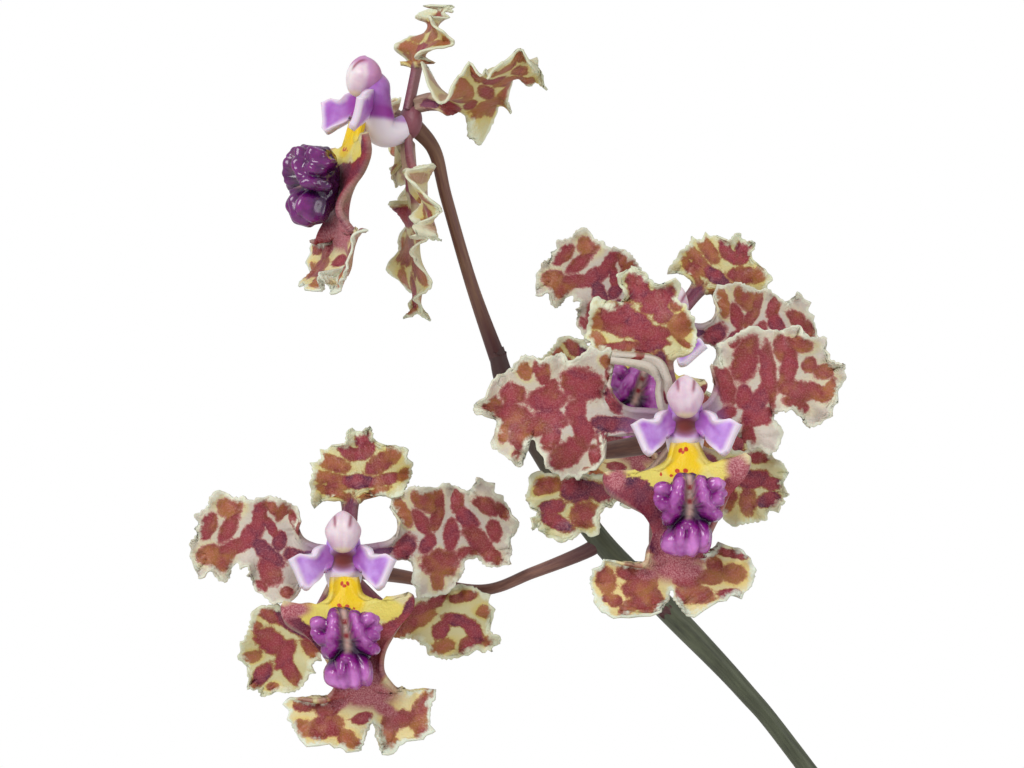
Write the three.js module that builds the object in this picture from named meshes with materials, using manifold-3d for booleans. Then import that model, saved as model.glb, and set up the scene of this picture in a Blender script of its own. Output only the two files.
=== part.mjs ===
// A potted mule-ear orchid: a clay pot of bark, stiff spotted leaves and a flower stem with four blooms.
// Millimetres, +Z up, blooms face -Y. The origin is the middle of the pot's base, on the table.
// A bloom is described in its own directions: u to its right as seen from its front, v up, w out of its face,
// measured from the middle of its stigma.

import * as THREE from 'three';
import { mergeVertices } from 'three/addons/utils/BufferGeometryUtils.js';
import Module from 'manifold-3d';

const wasm = await Module();
wasm.setup();

// Driving dimensions.
const GAP = 0.3;
const BLADE = 0.6;
const POT = { height: 105, rim: 62, band: 20, top: 57, base: 43, wall: 5, floor: 6, sides: 24 };
const DRAIN = { holes: 3, radius: 5, from: 20, sides: 10 };
const BARK = { top: 84, chips: 17, long: 22, wide: 14, thick: 5, inset: 15.2 };
const SPRAY = [-100, 0, 420];
const SEED = 11;

const COLOURS = {
  petal: '#a84a4e', lip: '#9c3a4e', callus: '#8c1a8c', column: '#b478d0', cap: '#e6d3dc', pedicel: '#7a4a45',
  stem: '#3f3d2a', leaf: '#56603a', bulb: '#5d6038', root: '#b9b7a6', bark: '#5a3f2c', clay: '#b5694a',
};

// Outlines of the blades, as seen from the front of the bloom. left and right are the two edges from the claw to
// the tip, with the same number of points; spine holds [edge point, u, v, w] for the middle line between them.
const PALE = {
  dorsal: {
    left: [[-0.2, 0.4], [-0.1, 3.8], [-0.5, 4.4], [-1.4, 4.4], [-2.2, 4.1], [-2.6, 5.4], [-2.4, 6.5], [-1.9, 7.5],
      [-1.0, 8.5], [0.1, 8.6], [0.4, 9.7], [0.8, 9.5]],
    right: [[0.6, 0.4], [0.8, 3.9], [1.2, 4.4], [2.2, 4.7], [3.4, 4.7], [4.4, 5.3], [5.0, 6.3], [4.8, 7.4],
      [4.0, 8.4], [2.4, 8.7], [1.9, 9.9], [1.4, 9.5]],
    spine: [[0, 0.2, 0.4, -4.0], [1, 0.35, 3.8, -4.3], [5, 0.6, 5.9, -4.4], [11, 1.1, 9.5, -5.6]],
    cup: [0.2, 0.5], wave: 0.55, waves: 3.2, shift: 0.6,
  },
  petalLeft: {
    left: [[-0.8, -0.1], [-2.3, -0.4], [-3.1, -1.3], [-3.5, -2.6], [-4.3, -3.2], [-5.5, -2.9], [-6.8, -2.1],
      [-6.8, -1.1], [-7.4, -0.4], [-8.2, -0.4], [-8.9, -1.6], [-9.8, -0.9], [-10.8, -1.4], [-11.5, 0.0]],
    right: [[-0.8, 0.9], [-2.2, 1.1], [-3.1, 1.6], [-3.4, 2.5], [-3.3, 3.5], [-4.3, 4.4], [-5.6, 4.8],
      [-6.8, 4.5], [-8.2, 4.7], [-9.7, 4.8], [-10.3, 3.9], [-11.0, 3.3], [-10.8, 2.2], [-11.5, 1.3]],
    spine: [[0, -0.8, 0.4, -3.8], [1, -2.2, 0.4, -3.7], [6, -5.8, 0.9, -3.9], [13, -11.6, 0.6, -5.6]],
    cup: [0.1, 0.4], wave: 0.7, waves: 3.6, shift: 0.1,
  },
  petalRight: {
    left: [[0.8, 0.9], [2.3, 1.1], [3.4, 1.4], [4.0, 2.3], [3.8, 3.5], [3.4, 4.4], [4.8, 5.4], [6.2, 5.2],
      [7.4, 5.7], [9.2, 5.2], [9.9, 6.2], [11.2, 5.0], [12.0, 4.1], [12.6, 2.9]],
    right: [[0.8, 0.0], [2.5, 0.1], [3.6, 0.1], [4.6, 0.0], [5.2, -0.8], [5.2, -2.0], [6.0, -2.8], [7.4, -2.3],
      [8.5, -1.4], [8.9, -0.2], [9.7, 0.1], [10.6, -0.6], [12.2, -0.3], [12.1, 1.3]],
    spine: [[0, 0.8, 0.4, -3.8], [1, 2.4, 0.6, -3.7], [6, 6.0, 1.3, -3.8], [13, 12.5, 2.1, -5.6]],
    cup: [0.4, 0.1], wave: 0.7, waves: 3.8, shift: 0.35,
  },
  sepalLeft: {
    left: [[-0.4, -2.3], [-1.3, -5.4], [-1.6, -6.6], [-2.1, -7.3], [-2.5, -8.1], [-2.9, -9.1], [-3.6, -9.7],
      [-4.5, -9.7], [-5.2, -10.0], [-6.3, -10.3]],
    right: [[-0.8, -1.1], [-2.3, -3.7], [-3.4, -3.8], [-4.7, -3.5], [-6.0, -3.4], [-7.0, -4.5], [-7.5, -5.8],
      [-7.9, -6.9], [-7.4, -8.2], [-7.3, -9.7]],
    spine: [[0, -0.6, -1.7, -4.4], [1, -1.9, -4.6, -4.9], [9, -6.6, -9.8, -6.6]],
    cup: [0.3, 0.3], wave: 0.5, waves: 2.8, shift: 0.0,
  },
  sepalRight: {
    left: [[0.8, -1.2], [3.0, -3.2], [4.5, -3.4], [6.0, -2.7], [7.6, -2.0], [9.3, -1.9], [10.3, -2.6],
      [11.0, -3.9], [10.7, -5.2], [11.3, -6.1]],
    right: [[0.4, -2.2], [2.3, -4.6], [3.6, -5.5], [4.6, -5.9], [5.7, -6.2], [6.3, -7.1], [7.4, -7.5],
      [8.7, -7.3], [9.7, -6.8], [10.9, -6.9]],
    spine: [[0, 0.6, -1.7, -4.4], [1, 2.7, -3.9, -4.9], [9, 10.9, -6.4, -6.6]],
    cup: [0.3, 0.3], wave: 0.5, waves: 2.8, shift: 0.5,
  },
  lip: {
    left: [[-0.8, -1.5], [-1.1, -2.8], [-2.8, -3.6], [-4.4, -3.0], [-4.1, -4.3], [-2.6, -5.4], [-1.5, -6.7],
      [-0.9, -8.0], [-0.6, -9.2], [-1.6, -10.1], [-3.8, -9.8], [-3.9, -11.4], [-3.0, -12.9], [-0.8, -13.2],
      [1.1, -13.8], [1.75, -12.4]],
    right: [[1.0, -1.5], [1.5, -2.5], [3.1, -3.0], [4.9, -2.3], [5.2, -3.3], [4.0, -4.9], [3.1, -6.3],
      [2.9, -7.7], [3.4, -8.7], [4.5, -9.5], [6.8, -9.2], [6.5, -10.6], [6.2, -12.6], [4.6, -13.0],
      [3.0, -13.9], [2.7, -12.4]],
    spine: [[0, 0.1, -1.5, -1.4], [3, 0.3, -3.7, 0.4], [8, 1.3, -8.7, 0.8], [12, 1.8, -10.5, 0.6],
      [15, 2.2, -11.6, 0.6]],
    cup: [0.5, 0.5], wave: 0.5, waves: 3.4, shift: 0.3, curl: 1.2,
  },
};

const BOLD = {
  dorsal: {
    left: [[-0.8, 0.4], [-1.9, 4.1], [-2.6, 5.1], [-4.6, 5.2], [-6.4, 5.6], [-7.0, 6.8], [-6.8, 8.1], [-6.3, 9.2],
      [-5.2, 8.7], [-4.3, 9.4], [-4.9, 10.9], [-4.1, 11.4]],
    right: [[0.0, 0.4], [-0.9, 4.0], [-0.7, 5.0], [0.5, 5.3], [1.0, 6.2], [0.9, 7.3], [0.4, 8.4], [-0.3, 9.2],
      [-0.5, 10.4], [-1.7, 10.3], [-2.4, 10.8], [-3.2, 11.5]],
    spine: [[0, -0.4, 0.4, -4.0], [1, -1.4, 4.0, -4.3], [5, -2.4, 7.2, -4.3], [11, -3.6, 11.3, -5.4]],
    cup: [0.3, 0.6], wave: 0.6, waves: 3.4, shift: 0.2,
  },
  petalLeft: {
    left: [[-0.8, -0.1], [-2.8, -0.4], [-4.6, -0.6], [-5.8, -0.8], [-5.6, -1.9], [-6.4, -3.1], [-8.2, -3.6],
      [-9.8, -3.1], [-10.1, -2.0], [-11.1, -1.0], [-11.7, -2.9], [-12.6, -2.4], [-13.7, -1.4], [-13.3, 0.1],
      [-14.8, 1.1]],
    right: [[-0.8, 1.1], [-2.7, 1.2], [-4.2, 1.4], [-5.2, 2.4], [-5.3, 3.6], [-5.0, 5.1], [-6.8, 5.6],
      [-8.4, 4.5], [-8.8, 5.4], [-10.2, 4.9], [-11.6, 5.2], [-12.5, 4.3], [-13.7, 3.5], [-14.3, 2.3],
      [-14.9, 1.5]],
    spine: [[0, -0.8, 0.5, -3.8], [2, -4.3, 0.5, -3.5], [7, -8.2, 0.9, -3.4], [14, -14.9, 1.3, -5.2]],
    cup: [0.3, 0.5], wave: 0.75, waves: 4.2, shift: 0.0,
  },
  petalRight: {
    left: [[0.8, 1.1], [1.9, 1.9], [2.3, 3.1], [1.9, 4.5], [2.7, 4.5], [2.7, 6.0], [4.2, 6.9], [5.6, 7.1],
      [6.9, 7.0], [8.2, 7.4], [9.0, 6.6], [10.1, 6.4], [10.5, 5.0], [11.7, 4.5]],
    right: [[0.8, 0.0], [2.5, 0.3], [3.5, 0.2], [4.1, -0.9], [5.2, -1.5], [6.6, -1.8], [6.9, -0.5], [6.4, 0.5],
      [7.2, 1.2], [8.3, 0.9], [9.1, -0.1], [10.4, 0.5], [11.0, 1.7], [11.4, 3.4]],
    spine: [[0, 0.8, 0.6, -3.8], [1, 2.2, 1.0, -3.7], [6, 5.2, 2.9, -3.4], [13, 11.6, 4.0, -5.0]],
    cup: [0.5, 0.1], wave: 0.75, waves: 3.9, shift: 0.4,
  },
  sepalLeft: {
    left: [[-0.4, -2.2], [-2.3, -4.8], [-3.8, -5.2], [-5.5, -5.7], [-6.1, -6.5], [-6.3, -7.7], [-7.4, -7.8],
      [-8.6, -8.4], [-9.5, -8.2], [-10.3, -7.7]],
    right: [[-0.8, -1.1], [-2.6, -3.1], [-4.4, -3.3], [-6.3, -3.4], [-8.4, -3.4], [-10.5, -3.4], [-11.3, -4.6],
      [-11.4, -5.4], [-10.6, -6.3], [-11.0, -7.5]],
    spine: [[0, -0.6, -1.6, -4.4], [1, -2.4, -3.9, -4.9], [9, -10.6, -7.4, -6.4]],
    cup: [0.3, 0.3], wave: 0.5, waves: 2.8, shift: 0.1,
  },
  sepalRight: {
    left: [[0.8, -1.1], [2.0, -1.7], [3.2, -1.7], [4.6, -1.7], [5.8, -1.6], [6.9, -2.4], [7.7, -3.3],
      [7.3, -4.1], [7.7, -4.9]],
    right: [[0.4, -2.2], [1.7, -4.4], [2.5, -5.6], [3.0, -6.6], [4.2, -7.0], [5.7, -6.9], [6.3, -6.2],
      [6.9, -5.8], [7.4, -5.6]],
    spine: [[0, 0.6, -1.6, -4.4], [1, 1.9, -3.0, -4.8], [8, 7.4, -5.2, -5.6]],
    cup: [0.3, 0.3], wave: 0.5, waves: 2.6, shift: 0.6,
  },
  lip: {
    left: [[-0.9, -1.5], [-1.5, -2.6], [-3.6, -3.5], [-5.7, -3.1], [-5.7, -4.4], [-4.2, -5.4], [-2.9, -6.4],
      [-2.4, -7.5], [-2.7, -8.5], [-3.2, -9.8], [-5.6, -9.5], [-6.9, -10.8], [-6.3, -12.3], [-5.4, -13.4],
      [-2.4, -13.4], [-1.4, -12.4]],
    right: [[0.8, -1.5], [1.6, -2.5], [2.9, -2.8], [4.4, -1.9], [4.4, -3.2], [3.4, -4.4], [2.6, -5.8],
      [1.8, -7.2], [1.3, -8.6], [1.4, -9.1], [3.2, -8.4], [4.8, -9.6], [4.6, -11.4], [3.0, -12.1],
      [0.4, -13.3], [-0.6, -12.6]],
    spine: [[0, 0.0, -1.5, -1.4], [3, 0.0, -3.7, 0.4], [8, -0.8, -8.7, 0.8], [12, -1.0, -10.6, 0.6],
      [15, -1.0, -11.7, 0.6]],
    cup: [0.5, 0.5], wave: 0.5, waves: 3.6, shift: 0.1, curl: 0.8,
  },
};

// The four blooms. at is the stigma, from the middle of the spray; turn, tilt and roll are degrees from facing
// the viewer; pose swings a blade about the receptacle, folds it back, twists it about its own length (all in
// degrees), stretches it and deepens its ruffles.
const BLOOMS = [
  { name: 'front', at: [12.4, 0, -3.1], turn: 0, tilt: 0, roll: 0, size: 1, form: BOLD, pose: {} },
  { name: 'lower', at: [-12.35, 8, -13.0], turn: 0, tilt: 0, roll: 0, size: 1, form: PALE, pose: {} },
  {
    name: 'upper', at: [-11.2, 5, 20.1], turn: 67, tilt: 6, roll: 0, size: 1, form: PALE,
    pose: {
      dorsal: { fold: -3, twist: 20, ruffle: 1.2 },
      petalRight: { swing: 11, fold: 34, twist: 95, stretch: 0.86, ruffle: 1.2 },
      petalLeft: { swing: 36, fold: 14, stretch: 0.75 },
      sepalRight: { swing: -20, fold: -14, twist: 25, ruffle: 2 },
      sepalLeft: { swing: 26, fold: 3, stretch: 1.25, ruffle: 1.6 },
    },
  },
  {
    name: 'back', at: [11.4, 26, 4.2], turn: 0, tilt: 0, roll: 25, size: 0.97, form: PALE,
    pose: { dorsal: { swing: -12, stretch: 1.06 }, petalLeft: { swing: 1, stretch: 0.93 }, petalRight: { swing: 8 } },
  },
];

// Strips across each blade's solid.
const STRIPS = { dorsal: 4, petalLeft: 6, petalRight: 6, sepalLeft: 4, sepalRight: 4, lip: 6 };

const RECEPTACLE = { at: [0, -0.6, -4.2], radius: 1.5 };
const COLUMN = {
  path: [[0, -1.9, -2.7], [0, -1.1, -2.0], [0, -0.1, -1.3], [0, 1.0, -1.1], [0, 2.0, -1.2]],
  radius: [1.25, 1.4, 1.35, 1.3, 1.0],
};
const STIGMA = { at: [0, 0.05, 0.5], size: [0.75, 0.7, 0.6] };
const CAP = { at: [0, 2.2, -0.3], size: [1.35, 1.5, 1.3] };
const WING = {
  left: [[0.5, -0.7], [1.4, -0.8], [2.2, -1.4], [3.0, -1.9]],
  right: [[0.5, 0.9], [1.5, 1.0], [2.5, 0.5], [3.7, 0.0]],
  spine: [[0, 0.5, 0.1, -0.7], [1, 1.4, 0.1, -0.2], [3, 3.2, -0.9, 1.2]],
  cup: [0.2, 0.2], wave: 0, waves: 1, shift: 0,
};
// The callus is a core with warts and ridges: each is [place from the core u v w, half sizes u v w].
const CALLUS = {
  at: [0.1, -5.7, 2.4],
  warts: [
    [0, 0, 0, 1.9, 2.7, 1.7], [-1.75, 1.1, 0.5, 0.75, 1.2, 1.6], [1.85, 1.0, 0.5, 0.75, 1.3, 1.6],
    [-0.65, 0.9, 1.4, 0.5, 1.8, 1.3], [0.75, 0.8, 1.4, 0.5, 1.7, 1.3], [1.5, -0.6, 0.8, 0.8, 0.7, 1.3],
    [-1.0, -2.2, 0.8, 0.95, 1.0, 1.4], [0.5, -2.1, 1.1, 1.0, 1.3, 1.4], [-0.2, -1.2, 1.5, 0.8, 0.6, 1.1],
  ],
  around: 12, down: 8, sharp: 9,
};

// Flower stem and pedicels, from the middle of the spray except the scape's lower part, which is from the pot.
const SCAPE = [[-4, -3, 66], [-4, -3, 110], [-6, -1, 195], [-17, 5, 283], [-40, 11, 336], [-61.5, 13, 369],
  [-78.3, 13, 391.7], [-82.9, 12.9, 397.4], [-88.5, 12.6, 403.3], [-93.6, 12.1, 408.6], [-97.4, 12, 414.3],
  [-100.2, 12, 419.4], [-101.2, 12, 422.6]];
const SCAPE_RADIUS = [3.0, 2.8, 2.3, 1.7, 1.2, 0.85, 0.66, 0.7, 0.88, 0.82, 0.8, 0.85, 0.7];
// Each bract is [share of the stem's length, how far it stands out], and its three rings are a share further on.
const BRACTS = [[0.2, 1.0], [0.33, 0.8], [0.45, 0.6], [0.954, 0.45]];
const BRACT_RINGS = [0, 0.012, 0.03];
const PEDICELS = {
  front: { from: [3.4, 12, -4.6], by: [[6.4, 9.6, -4.9], [9.6, 6.2, -4.4]], thick: [0.6, 0.62, 0.75, 0.8] },
  lower: { from: [5.6, 12.3, -12.3], by: [[1.6, 14.2, -14.0], [-2.4, 16.2, -15.4], [-8.2, 16.6, -14.4]],
    thick: [0.6, 0.55, 0.55, 0.65, 0.8] },
  upper: { from: [-1.2, 12, 2.3], by: [[-3.0, 10.6, 7.4], [-4.8, 9.2, 13.6], [-5.7, 8.1, 17.1]],
    thick: [0.6, 0.6, 0.65, 0.8, 0.95] },
  back: { from: [11.3, 12.6, -16.7], by: [[11.2, 19, -15.6], [11.2, 30, -12.6], [11.6, 36, -6], [11.4, 35, 0.6]],
    thick: [0.6, 0.6, 0.6, 0.65, 0.75, 0.85] },
};

// Leaves stand on the rhizome: x and y of the foot, compass heading, lean from upright, then length and width.
const LEAVES = [
  { at: [-31, -3], heading: 178, lean: 34, arch: 22, long: 190, wide: 48 },
  { at: [-15, 7], heading: 116, lean: 16, arch: 20, long: 225, wide: 52 },
  { at: [7, -8], heading: -66, lean: 24, arch: 24, long: 180, wide: 46 },
  { at: [21, 6], heading: 52, lean: 18, arch: 22, long: 210, wide: 52 },
  { at: [36, -2], heading: -4, lean: 40, arch: 24, long: 165, wide: 45 },
];
// A leaf's half width is wide / 2 (foot (1 - t)^2 + sin(pi t^point)^full), its V opens from open[0] by open[1]
// degrees, and its thickness is edge plus keel on the middle line, less taper of that towards the tip.
const LEAF = {
  rows: 9, columns: 6, steps: 24, above: 1.2, foot: 0.17, point: 1.15, full: 0.75, open: [68, 50, 6],
  edge: 1.1, keel: 1.5, taper: 0.6,
};
const BULB = {
  radius: 7.5, height: 17, rhizome: 4.2, profile: [[0, 0], [0.8, 0.06], [1, 0.3], [0.86, 0.62], [0.46, 0.9], [0, 1]],
};
const ROOTS = [[-32, -15, 205], [-17, -27, 250], [-20, 21, 150], [15, -28, 285], [28, 21, 40]];
const ROOT_RADIUS = 1.9;

/** The same draws every time: numbers from 0 up to 1. */
function drawer(seed) {
  let state = seed;
  return () => {
    state = (state + 0x6d2b79f5) | 0;
    let t = Math.imul(state ^ (state >>> 15), 1 | state);
    t = (t + Math.imul(t ^ (t >>> 7), 61 | t)) ^ t;
    return ((t ^ (t >>> 14)) >>> 0) / 4294967296;
  };
}

/** The smooth line through values at knots: cubic pieces whose slope at a knot is that between its neighbours. */
function smooth(knots, values, x) {
  const last = knots.length - 1;
  let i = 0;
  while (i < last - 1 && x > knots[i + 1]) i += 1;
  const slope = (k) => {
    const a = Math.max(k - 1, 0);
    const b = Math.min(k + 1, last);
    return (values[b] - values[a]) / (knots[b] - knots[a]);
  };
  const h = knots[i + 1] - knots[i];
  const s = (x - knots[i]) / h;
  const start = (1 + 2 * s) * (1 - s) ** 2 * values[i] + s * (1 - s) ** 2 * h * slope(i);
  return start + s * s * (3 - 2 * s) * values[i + 1] + s * s * (s - 1) * h * slope(i + 1);
}

/** Point x along a list of points, by the smooth line through each coordinate. */
function through(points, x) {
  const knots = points.map((_, k) => k);
  return points[0].map((_, c) => smooth(knots, points.map((p) => p[c]), x));
}

/** Hermite step from 0 at low to 1 at high. */
function ease(low, high, x) {
  const s = Math.min(Math.max((x - low) / (high - low), 0), 1);
  return s * s * (3 - 2 * s);
}

/**
 * Point of a blade: t runs along it, q from -1 at the left edge over 0 on the spine to 1 at the right edge. A
 * cross line is straight from spine to edge; it lifts by the cup and the waves, which grow with q squared.
 */
function bladePoint(form, t, q, ruffle = 1) {
  const last = form.left.length - 1;
  const k = t * last;
  const knots = form.spine.map((p) => p[0]);
  const [su, sv, sw] = [1, 2, 3].map((c) => smooth(knots, form.spine.map((p) => p[c]), k));
  const [eu, ev] = through(q < 0 ? form.left : form.right, k);
  const a = Math.abs(q);
  const side = q < 0 ? 0 : 1;
  const wave = Math.sin(2 * Math.PI * (form.waves * t + form.shift + 0.37 * side));
  const lift = form.cup[side] + ruffle * form.wave * wave * ease(0.08, 0.3, t)
    + (form.curl ?? 0) * ease(0.6, 1, t);
  return new THREE.Vector3(su + (eu - su) * a, sv + (ev - sv) * a, sw + lift * a * a);
}

/** Swings, folds back, twists and stretches a point of a blade about the receptacle. */
function posed(point, form, pose) {
  if (!pose) return point;
  const [cu, cv, cw] = RECEPTACLE.at;
  const tip = form.spine[form.spine.length - 1];
  const heading = Math.atan2(tip[2] - cv, tip[1] - cu);
  const fold = THREE.MathUtils.degToRad(pose.fold ?? 0);
  const du = point.x - cu;
  const dv = point.y - cv;
  const reach = (du * Math.cos(heading) + dv * Math.sin(heading)) * (pose.stretch ?? 1);
  const across = -du * Math.sin(heading) + dv * Math.cos(heading);
  const out = point.z - cw;
  const twist = THREE.MathUtils.degToRad(pose.twist ?? 0) * ease(1.5, 5.5, reach);
  const wide = across * Math.cos(twist) - out * Math.sin(twist);
  const rise = across * Math.sin(twist) + out * Math.cos(twist);
  const far = reach * Math.cos(fold) + rise * Math.sin(fold);
  const high = -reach * Math.sin(fold) + rise * Math.cos(fold);
  const way = heading + THREE.MathUtils.degToRad(pose.swing ?? 0);
  return new THREE.Vector3(
    cu + far * Math.cos(way) - wide * Math.sin(way),
    cv + far * Math.sin(way) + wide * Math.cos(way),
    cw + high,
  );
}

/** A closed geometry from corner positions and triangles, with its corners merged. */
function closed(positions, triangles) {
  const geometry = new THREE.BufferGeometry();
  geometry.setAttribute('position', new THREE.Float32BufferAttribute(positions, 3));
  geometry.setIndex(triangles);
  return mergeVertices(geometry, 1e-4);
}

/** A thin solid over a grid of points: each is moved out both ways along its normal, rows run along the blade. */
function sheet(grid, thickness) {
  const rows = grid.length;
  const columns = grid[0].length;
  const mean = new THREE.Vector3();
  const normals = grid.map((row, i) => row.map((_, j) => {
    const a = new THREE.Vector3().subVectors(grid[Math.min(i + 1, rows - 1)][j], grid[Math.max(i - 1, 0)][j]);
    const b = new THREE.Vector3().subVectors(row[Math.min(j + 1, columns - 1)], row[Math.max(j - 1, 0)]);
    const n = new THREE.Vector3().crossVectors(b, a).normalize();
    mean.add(n);
    return n;
  }));
  mean.normalize();
  const positions = [];
  for (const side of [1, -1]) {
    grid.forEach((row, i) => row.forEach((p, j) => {
      const n = normals[i][j].clone().add(mean).normalize();
      const half = thickness(i / (rows - 1), j / (columns - 1)) / 2;
      positions.push(...p.clone().addScaledVector(n, side * half).toArray());
    }));
  }
  const at = (side, i, j) => (side * rows + i) * columns + j;
  const triangles = [];
  for (let i = 0; i < rows - 1; i += 1) {
    for (let j = 0; j < columns - 1; j += 1) {
      triangles.push(at(0, i, j), at(0, i, j + 1), at(0, i + 1, j + 1));
      triangles.push(at(0, i, j), at(0, i + 1, j + 1), at(0, i + 1, j));
      triangles.push(at(1, i, j), at(1, i + 1, j + 1), at(1, i, j + 1));
      triangles.push(at(1, i, j), at(1, i + 1, j), at(1, i + 1, j + 1));
    }
  }
  const rim = [];
  for (let j = 0; j < columns - 1; j += 1) rim.push([0, j]);
  for (let i = 0; i < rows - 1; i += 1) rim.push([i, columns - 1]);
  for (let j = columns - 1; j > 0; j -= 1) rim.push([rows - 1, j]);
  for (let i = rows - 1; i > 0; i -= 1) rim.push([i, 0]);
  rim.forEach(([i, j], k) => {
    const [m, n] = rim[(k + 1) % rim.length];
    triangles.push(at(0, i, j), at(1, i, j), at(1, m, n));
    triangles.push(at(0, i, j), at(1, m, n), at(0, m, n));
  });
  return closed(positions, triangles);
}

/** A blade's solid, with columns strips across it and a row at each point of its edges. */
function blade(form, pose, columns) {
  const last = form.left.length - 1;
  const grid = [];
  for (let i = 0; i <= last; i += 1) {
    const row = [];
    for (let j = 0; j <= columns; j += 1) {
      row.push(posed(bladePoint(form, i / last, -1 + (2 * j) / columns, pose?.ruffle), form, pose));
    }
    grid.push(row);
  }
  return sheet(grid, () => BLADE);
}

/** A round bar along a smooth line through points: rings square to the line, closed by a fan at each end. */
function bar(points, radii, sides, steps, extra = 0) {
  const last = points.length - 1;
  const curve = new THREE.CatmullRomCurve3(points.map((p) => new THREE.Vector3(...p)), false, 'catmullrom', 0.5);
  const positions = [];
  const triangles = [];
  const knots = points.map((_, k) => k);
  let across = new THREE.Vector3(0.31, 0.17, 0.94);
  for (let i = 0; i <= steps; i += 1) {
    const t = i / steps;
    const centre = curve.getPoint(t);
    const forward = curve.getTangent(t);
    across = across.clone().addScaledVector(forward, -across.dot(forward)).normalize();
    const other = new THREE.Vector3().crossVectors(forward, across);
    const radius = smooth(knots, radii, t * last) + extra;
    for (let j = 0; j < sides; j += 1) {
      const angle = (2 * Math.PI * j) / sides;
      const p = centre.clone().addScaledVector(across, radius * Math.cos(angle));
      positions.push(...p.addScaledVector(other, radius * Math.sin(angle)).toArray());
    }
  }
  for (let i = 0; i < steps; i += 1) {
    for (let j = 0; j < sides; j += 1) {
      const a = i * sides + j;
      const b = i * sides + ((j + 1) % sides);
      triangles.push(a, b, b + sides, a, b + sides, a + sides);
    }
  }
  for (let j = 1; j < sides - 1; j += 1) {
    triangles.push(0, j + 1, j);
    triangles.push(steps * sides, steps * sides + j, steps * sides + j + 1);
  }
  return closed(positions, triangles);
}

/** A ball squeezed to half sizes about a point, all grown by extra. */
function ball(at, size, around, down, extra = 0) {
  const geometry = new THREE.SphereGeometry(1, around, down);
  geometry.scale(size[0] + extra, size[1] + extra, size[2] + extra);
  geometry.translate(...at);
  return geometry;
}

/** Manifold solid of a closed geometry. */
function solid(geometry) {
  const bare = geometry.clone();
  bare.deleteAttribute('normal');
  bare.deleteAttribute('uv');
  const merged = mergeVertices(bare, 1e-4);
  return new wasm.Manifold(new wasm.Mesh({
    numProp: 3,
    vertProperties: new Float32Array(merged.attributes.position.array),
    triVerts: new Uint32Array(merged.index.array),
  }));
}

/** Geometry of the largest body of a manifold solid. */
function largest(body) {
  const parts = body.decompose().sort((a, b) => b.volume() - a.volume());
  const mesh = parts[0].getMesh();
  const positions = [];
  for (let i = 0; i < mesh.numVert; i += 1) {
    positions.push(...mesh.vertProperties.slice(i * mesh.numProp, i * mesh.numProp + 3));
  }
  return closed(positions, Array.from(mesh.triVerts));
}

/** All geometries in one solid. */
function fused(geometries) {
  return geometries.map(solid).reduce((all, one) => all.add(one));
}

/** A body less each neighbour's closed geometry, given grown by the gap where the two only touch. */
function cleared(body, neighbours) {
  return neighbours.reduce((left, one) => left.subtract(solid(one)), body);
}

function mesh(name, geometry, colour, roughness) {
  const flat = geometry.index ? geometry.toNonIndexed() : geometry;
  flat.computeVertexNormals();
  const made = new THREE.Mesh(flat, new THREE.MeshStandardMaterial({ color: colour, roughness, metalness: 0 }));
  made.name = name;
  return made;
}

/** The bloom's frame: columns u, v and w in the plant's directions, its stigma at the origin of the frame. */
function facing(bloom) {
  const [turn, tilt, roll] = [bloom.turn, bloom.tilt, bloom.roll].map(THREE.MathUtils.degToRad);
  const out = new THREE.Vector3(-Math.sin(turn) * Math.cos(tilt), -Math.cos(turn) * Math.cos(tilt), Math.sin(tilt));
  const right = new THREE.Vector3(Math.cos(turn), -Math.sin(turn), 0);
  const up = new THREE.Vector3().crossVectors(out, right);
  const u = right.clone().multiplyScalar(Math.cos(roll)).addScaledVector(up, -Math.sin(roll));
  const v = right.clone().multiplyScalar(Math.sin(roll)).addScaledVector(up, Math.cos(roll));
  return new THREE.Matrix4().makeBasis(u, v, out);
}

/** Distance from the callus's middle to its surface along a direction: a soft maximum over its warts. */
function callusReach(direction) {
  const reaches = CALLUS.warts.map(([u, v, w, a, b, c]) => {
    const place = [u / a, v / b, w / c];
    const way = [direction.x / a, direction.y / b, direction.z / c];
    const square = way[0] ** 2 + way[1] ** 2 + way[2] ** 2;
    const meet = way[0] * place[0] + way[1] * place[1] + way[2] * place[2];
    const rest = place[0] ** 2 + place[1] ** 2 + place[2] ** 2 - 1;
    const inside = meet * meet - square * rest;
    return inside > 0 ? Math.max((meet + Math.sqrt(inside)) / square, 0) : 0;
  });
  return reaches.reduce((sum, r) => sum + r ** CALLUS.sharp, 0) ** (1 / CALLUS.sharp);
}

/** The warted callus, its back flattened just clear of the lip's middle line. */
function callus(lip) {
  const geometry = new THREE.SphereGeometry(1, CALLUS.around, CALLUS.down);
  geometry.deleteAttribute('normal');
  geometry.deleteAttribute('uv');
  const merged = mergeVertices(geometry, 1e-4);
  const position = merged.attributes.position;
  const knots = lip.spine.map((p) => -p[2]);
  for (let i = 0; i < position.count; i += 1) {
    const direction = new THREE.Vector3().fromBufferAttribute(position, i);
    const p = direction.clone().multiplyScalar(callusReach(direction)).add(new THREE.Vector3(...CALLUS.at));
    const back = smooth(knots, lip.spine.map((s) => s[3]), -p.y) + 0.5 * (lip.cup[0] + 0.3) + BLADE / 2 + GAP;
    position.setXYZ(i, p.x, p.y, Math.max(p.z, back + 0.1 * direction.z));
  }
  return merged;
}

function mirrored(form) {
  const flip = (edge) => edge.map(([u, v]) => [-u, v]);
  return { ...form, left: flip(form.right), right: flip(form.left),
    spine: form.spine.map(([k, u, v, w]) => [k, -u, v, w]) };
}

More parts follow.
